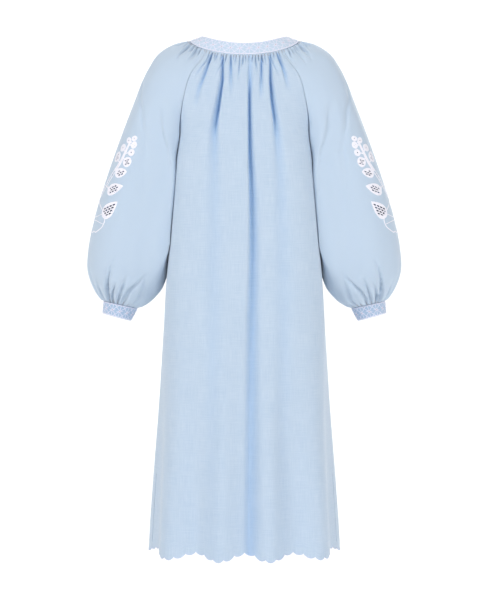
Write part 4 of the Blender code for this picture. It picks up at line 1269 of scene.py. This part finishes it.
def band_work(name, band, pitch, thread, knot_thread):
    """Stars in diamonds all round a band, with a knot at each node and a line at both edges."""
    heap, knots = Heap(), Heap()
    count = int(round(band.round / pitch))
    step = 1.0 / count
    rays = [(0.0, 0.93), (0.0, 0.07), (0.40, 0.56), (-0.40, 0.44)]
    rays += [(x, y) for x in (-0.74, 0.74) for y in (0.07, 0.93)]
    for k in range(count):
        node = (k + 0.5) * step
        for x, y in rays:
            line = [band.at(node + step * x * t, 0.5 + (y - 0.5) * t) for t in np.linspace(0.04, 1, 7)]
            heap.ribbon(line, *BAND_THREAD, sink=THIN_SINK)
        knots.knot(*band.at(node, 0.5), *BIG_KNOT)
        knots.knot(*band.at(node, 0.06), *SMALL_KNOT)
    for up, wide in ((0.055, 0.00095), (0.945, 0.00075)):
        line = [band.at(s, up) for s in np.linspace(0, 1, count * 10, endpoint=False)]
        heap.ribbon(line, wide, BAND_EDGE_HEIGHT, closed=True, sink=THIN_SINK)
    return heap.object(f"{name}_lattice", thread), knots.object(f"{name}_knots", knot_thread)


def neck_band():
    turns = np.linspace(0, 2 * math.pi, 300, endpoint=False)
    low = np.array([neck_point(NECK_LOWER, t) for t in turns])
    high = np.array([neck_point(NECK_UPPER, t) for t in turns])
    normals = np.array([neck_normal(t) for t in turns])
    return Band(low, high, normals, 3)


def cuff_band(side):
    places = np.linspace(0.0, 1.0, 61)
    back_half = sleeve_row("back", 2.0, places)
    front_half = sleeve_row("front", 2.0, places[::-1])[1:-1]
    upper = np.concatenate([back_half, front_half])
    turns = np.linspace(0, 2 * math.pi, len(upper), endpoint=False)
    out = np.array([math.cos(CUFF_LEAN), 0.0, math.sin(CUFF_LEAN)])
    swing = np.outer(np.cos(turns), out) * CUFF_END_HALF_WIDTH
    swing[:, 1] -= np.sin(turns) * CUFF_END_DEPTH
    lower = np.array(CUFF_END_CENTRE) + swing
    normals = unit(unit(upper - cuff_centre()) + unit(swing))
    if side == "left":
        upper, lower, normals = upper * TO_LEFT, lower * TO_LEFT, normals * TO_LEFT
    return Band(lower, upper, normals, 4)


# Small sewing: the gathering stitches under the bands, and the worked edge of the hem

STITCH = (0.00042, 0.00050)
STITCH_APART = 0.00045
STITCH_NEAR = 0.0004
NECK_STITCH_FAR = 0.0066
CUFF_STITCH_FAR = 0.0060
HEM_EDGE = (0.00075, 0.00030)
HEM_EDGE_UP = 0.0004


def gather_stitches(heap, read, made, run, far):
    """A short double stitch down the mouth of each gather."""
    for place in made.place:
        for off in (-STITCH_APART, STITCH_APART):
            line = [read(place + off / run, d) for d in np.linspace(STITCH_NEAR, far, 6)]
            heap.ribbon(line, *STITCH, sink=0.0002)


def hem_edge(name, cloth, thread):
    """A worked edge along the scallops."""
    heap = Heap()
    last = cloth.points[-1]
    points = last + unit(cloth.points[-2] - last) * HEM_EDGE_UP
    heap.ribbon(list(zip(points, cloth.normals[-1])), *HEM_EDGE, sink=THIN_SINK)
    return heap.object(name, thread)


# Materials


def feed(tree, node, inputs):
    """Gives a node its inputs, by number or name: links, or values on the node's own sockets."""
    for key, value in inputs.items():
        if isinstance(value, bpy.types.NodeSocket):
            tree.links.new(value, node.inputs[key])
        else:
            node.inputs[key].default_value = value


def new_material(name, colour, roughness, inputs=None):
    made = bpy.data.materials.new(name)
    made.use_nodes = True
    tree = made.node_tree
    shader = tree.nodes["Principled BSDF"]
    feed(tree, shader, {"Base Color": (*colour, 1.0), "Roughness": roughness, **(inputs or {})})
    return made, tree, shader


def add(tree, kind, inputs=None, **settings):
    """A node, with its settings and its inputs."""
    node = tree.nodes.new(kind)
    for key, value in settings.items():
        setattr(node, key, value)
    feed(tree, node, inputs or {})
    return node


def maths(tree, operation, *values):
    """The result of one operation on two or three values."""
    return add(tree, "ShaderNodeMath", dict(enumerate(values)), operation=operation).outputs[0]


def noise(tree, place, scale, **more):
    """A soft noise over a place."""
    return add(tree, "ShaderNodeTexNoise", {"Vector": place, "Scale": scale, **more}).outputs["Fac"]


def mix(tree, share, first, second, blend="MIX"):
    """Two colours mixed by a share of the second."""
    inputs = {"Factor": share, 6: first, 7: second}
    return add(tree, "ShaderNodeMix", inputs, data_type="RGBA", blend_type=blend).outputs[2]


def finish_cloth(tree, shader, colour, relief, strength, distance):
    """Links a cloth's colour and its small relief to the shader."""
    bump = add(tree, "ShaderNodeBump", {"Strength": strength, "Distance": distance, "Height": relief})
    feed(tree, shader, {"Base Color": colour, "Normal": bump.outputs["Normal"]})


# The linens' dark, middle and light threads, and the painted shade that deep folds and gathers multiply them by

BODY_BLUES = [(0.418, 0.533, 0.665), (0.499, 0.598, 0.715), (0.580, 0.663, 0.765)]
BAND_BLUES = [(0.490, 0.605, 0.745), (0.545, 0.650, 0.775), (0.600, 0.690, 0.805)]
CUFF_BLUES = [(0.345, 0.475, 0.650), (0.390, 0.515, 0.680), (0.435, 0.555, 0.710)]
PAINTED_FOLD_SHADE = (0.46, 0.71, 0.99)
BAND_ROUGHNESS = 0.82
DULL_ROUGHNESS = 0.7
STRAND_SCALE = 900.0 / 6.28


def linen(name, dark, mid, light, roughness=0.86):
    """Plain-weave linen: crossing threads, slubs, soft patches, a faint fuzz, some light let through, and
    painted shade in folds and gathers.
    """
    made, tree, shader = new_material(name, mid, roughness, {
        "Sheen Weight": 0.22, "Sheen Roughness": 0.45, "Specular IOR Level": 0.18,
        "Subsurface Weight": 0.5, "Subsurface Radius": (1.0, 1.0, 1.0), "Subsurface Scale": 0.0012})
    place = add(tree, "ShaderNodeAttribute", attribute_name="weave").outputs["Vector"]
    slubs = []
    for scale in ((640.0, 26.0, 3.0), (26.0, 640.0, 5.0)):
        long = add(tree, "ShaderNodeVectorMath", {0: place, 1: scale}, operation="MULTIPLY").outputs[0]
        slubs.append(noise(tree, long, 1.0, Detail=2.0))
    both = maths(tree, "ADD", *slubs)
    patch = noise(tree, place, 14.0, Detail=2.0)
    mixed = maths(tree, "MULTIPLY_ADD", patch, 0.30, both)
    spread = add(tree, "ShaderNodeMapRange", {"Value": mixed, "From Min": 0.52, "From Max": 1.78})
    ramp = add(tree, "ShaderNodeValToRGB", {"Fac": spread.outputs[0]})
    ramp.color_ramp.elements[0].color = (*dark, 1.0)
    ramp.color_ramp.elements[1].color = (*light, 1.0)
    ramp.color_ramp.elements.new(0.5).color = (*mid, 1.0)
    # Painted shade: the fold attribute multiplies the colour towards a darker, bluer shade in folds and gathers
    deep = add(tree, "ShaderNodeAttribute", attribute_name="fold").outputs["Fac"]
    colour_with_painted_shade = mix(tree, deep, ramp.outputs["Color"], (*PAINTED_FOLD_SHADE, 1.0), "MULTIPLY")
    threads = []
    for axis in ("X", "Y"):
        wave = {"Vector": place, "Scale": 210.0, "Distortion": 0.6, "Detail": 1.0, "Detail Scale": 2.0}
        threads.append(add(tree, "ShaderNodeTexWave", wave, bands_direction=axis).outputs["Fac"])
    relief = maths(tree, "MULTIPLY_ADD", both, 0.8, maths(tree, "MULTIPLY", *threads))
    finish_cloth(tree, shader, colour_with_painted_shade, relief, 0.35, 0.00025)
    return made


def thread_material(name, colour, shade, roughness=0.55):
    """Glossy cotton thread, laid close, with each strand a little lighter or darker."""
    sheen = {"Sheen Weight": 0.15, "Specular IOR Level": 0.35}
    made, tree, shader = new_material(name, colour, roughness, sheen)
    place = add(tree, "ShaderNodeAttribute", attribute_name="thread").outputs["Vector"]
    strands = {"Vector": place, "Scale": STRAND_SCALE, "Distortion": 1.2, "Detail": 1.0}
    wave = add(tree, "ShaderNodeTexWave", strands, bands_direction="X").outputs["Fac"]
    uneven = noise(tree, place, 260.0, Detail=2.0)
    mixed = mix(tree, uneven, (*shade, 1.0), (*colour, 1.0))
    finish_cloth(tree, shader, mixed, maths(tree, "ADD", wave, uneven), 0.45, 0.0002)
    return made


def plain(name, colour, roughness):
    """A pale matte studio surface with a trace of unevenness."""
    made, tree, shader = new_material(name, colour, roughness)
    place = add(tree, "ShaderNodeTexCoord").outputs["Object"]
    shade = (*[c * 0.985 for c in colour], 1.0)
    feed(tree, shader, {"Base Color": mix(tree, noise(tree, place, 3.0), shade, (*colour, 1.0))})
    return made


# Camera, light and stage

FRAME_HEIGHT = 1.3275
CAMERA_PLACE = (-0.0043, -4.0, -0.5715)
SENSOR = 36.0
FLOOR_Z = -1.75
WALL_Y = 7.5
WALL_TOP = 6.0
SWEEP_BEND = 1.2
SWEEP_HALF = 9.0

# Lights: name, place, aim, size, power

LIGHTS = [
    ("key", (-3.2, -3.3, 2.1), (0.0, 0.0, -0.5), (1.8, 1.8), 110.0),
    ("fill", (2.8, -3.7, 0.5), (0.0, 0.0, -0.6), (2.0, 2.2), 72.0),
    ("front", (0.3, -5.2, -0.2), (0.0, 0.0, -0.5), (1.6, 1.6), 13.0),
    ("back", (0.4, 2.4, 1.2), (0.0, 0.0, -0.5), (2.4, 1.8), 60.0),
    ("backdrop", (0.0, 4.6, 3.6), (0.0, WALL_Y, -0.4), (7.0, 1.2), 190.0),
]


def set_camera():
    camera = bpy.data.cameras.new("camera")
    camera.sensor_width = SENSOR
    camera.sensor_fit = "AUTO"
    camera.lens = SENSOR * abs(CAMERA_PLACE[1]) / FRAME_HEIGHT
    made = link(bpy.data.objects.new("camera", camera))
    made.location = CAMERA_PLACE
    made.rotation_euler = (math.pi / 2, 0.0, 0.0)
    bpy.context.scene.camera = made


def area_light(name, place, aim, size, power):
    light = bpy.data.lights.new(name, "AREA")
    light.shape, light.size, light.size_y = "RECTANGLE", *size
    light.energy = power
    made = link(bpy.data.objects.new(name, light))
    made.location = place
    made.rotation_euler = (Vector(aim) - Vector(place)).to_track_quat("-Z", "Y").to_euler()


def set_stage():
    """A pale floor that sweeps up into a wall behind the dress."""
    start = WALL_Y - SWEEP_BEND
    profile = [(-SWEEP_HALF, FLOOR_Z), (start, FLOOR_Z)]
    for a in np.linspace(0, math.pi / 2, 14)[1:]:
        profile.append((start + SWEEP_BEND * math.sin(a), FLOOR_Z + SWEEP_BEND * (1 - math.cos(a))))
    profile.append((WALL_Y, WALL_TOP))
    vertices = [(x, y, z) for x in (-SWEEP_HALF, SWEEP_HALF) for y, z in profile]
    n = len(profile)
    faces = [(k, k + 1, n + k + 1, n + k) for k in range(n - 1)]
    mesh = bpy.data.meshes.new("studio_sweep")
    mesh.from_pydata(vertices, [], faces)
    mesh.materials.append(plain("studio_paper", (0.93, 0.935, 0.94), 0.9))
    mesh.shade_smooth()
    link(bpy.data.objects.new("studio_sweep", mesh))
    for light in LIGHTS:
        area_light(*light)
    world = bpy.data.worlds.new("studio")
    world.use_nodes = True
    sky = {"Color": (1.0, 1.0, 1.0, 1.0), "Strength": 0.50}
    feed(world.node_tree, world.node_tree.nodes["Background"], sky)
    bpy.context.scene.world = world
    bpy.context.scene.view_settings.view_transform = "Standard"


# The dress


def sheet_area(points):
    """One side's area of a grid of cloth."""
    a, b, c, d = points[:-1, :-1], points[:-1, 1:], points[1:, 1:], points[1:, :-1]
    first = np.linalg.norm(np.cross(b - a, c - a), axis=-1)
    second = np.linalg.norm(np.cross(c - a, d - a), axis=-1)
    return float((first + second).sum() / 2)


def sheet_size(points):
    """The greatest width and length along the cloth of a grid."""
    wide = np.linalg.norm(np.diff(points, axis=1), axis=-1).sum(axis=1).max()
    long = np.linalg.norm(np.diff(points, axis=0), axis=-1).sum(axis=0).max()
    return float(wide), float(long)


def sew(piece, slot, *nodes):
    """A piece rides with the dress, and stands for the nodes it replaces."""
    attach(piece, "root")
    if nodes:
        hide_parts(*nodes)


def sew_panels(stitches, blue, edge):
    """The back and front panels with their hems' worked edges and their gathering stitches."""
    nodes = {"back": ("back_panel_yoke", "back_panel_waist", "back_panel_skirt"), "front": ("front_panel",)}
    for face in FACES:
        made, cloth = body_cloth(face, blue)
        sew(made, f"{face}_panel", *nodes[face])
        hem = hem_edge(f"{face}_hem_edge", cloth, edge)
        sew(hem, f"{face}_panel")
        sheet_size(cloth.points)
        sheet_area(cloth.points)
        gather_stitches(stitches, cloth.read, GROOVES[face], cloth.lengths[0], NECK_STITCH_FAR)


def sew_sleeve_half(stitches, side, face, blue, white):
    """Half a sleeve with its cutwork, embroidery and gathering stitches."""
    node = f"sleeve_{side}_{face}"
    made, cloth = sleeve_cloth(side, face, blue)
    work, cuts = sleeve_work(side, face, cloth, white)
    cut_through(made, cloth, cuts)
    sew(made, node, node)
    sew(work, node)
    sheet_size(cloth.points)
    sheet_area(cloth.points)
    neck, cuff = sleeve_grooves(side, face)
    gather_stitches(stitches, cloth.read, neck, cloth.lengths[0], NECK_STITCH_FAR)
    gather_stitches(stitches, cloth.read_up, cuff, cloth.lengths[-1], CUFF_STITCH_FAR)


def sew_band(name, band, pitch, material, pale, rose):
    """A band's doubled cloth with its lattice and knots."""
    made = band_cloth(f"{name}_cloth", band, material)
    sew(made, name, name)
    lattice, knots = band_work(name, band, pitch, pale, rose)
    sew(lattice, name)
    sew(knots, name)
    area = sum(face.area for face in made.data.polygons) / 2


def main():
    set_camera()
    set_stage()
    body_linen = linen("blue_linen", *BODY_BLUES)
    band_linen = linen("band_linen", *BAND_BLUES, BAND_ROUGHNESS)
    cuff_linen = linen("cuff_linen", *CUFF_BLUES, BAND_ROUGHNESS)
    white = thread_material("white_thread", (0.90, 0.89, 0.95), (0.80, 0.79, 0.88))
    pale = thread_material("pale_thread", (0.82, 0.80, 0.91), (0.74, 0.73, 0.87))
    taupe = thread_material("gather_thread", (0.46, 0.46, 0.50), (0.38, 0.39, 0.45), DULL_ROUGHNESS)
    rose = thread_material("knot_thread", (0.52, 0.40, 0.44), (0.40, 0.31, 0.37), DULL_ROUGHNESS)
    edge = thread_material("edge_thread", (0.54, 0.60, 0.78), (0.46, 0.53, 0.73), DULL_ROUGHNESS)
    stitches = Heap()
    sew_panels(stitches, body_linen, edge)
    for side in SIDES:
        for face in FACES:
            sew_sleeve_half(stitches, side, face, body_linen, white)
    sew_band("neckband", neck_band(), NECK_PITCH, band_linen, pale, rose)
    for side in SIDES:
        sew_band(f"cuff_{side}", cuff_band(side), CUFF_PITCH, cuff_linen, pale, rose)
    sew(stitches.object("gather_stitches", taupe), "back_panel")


main()
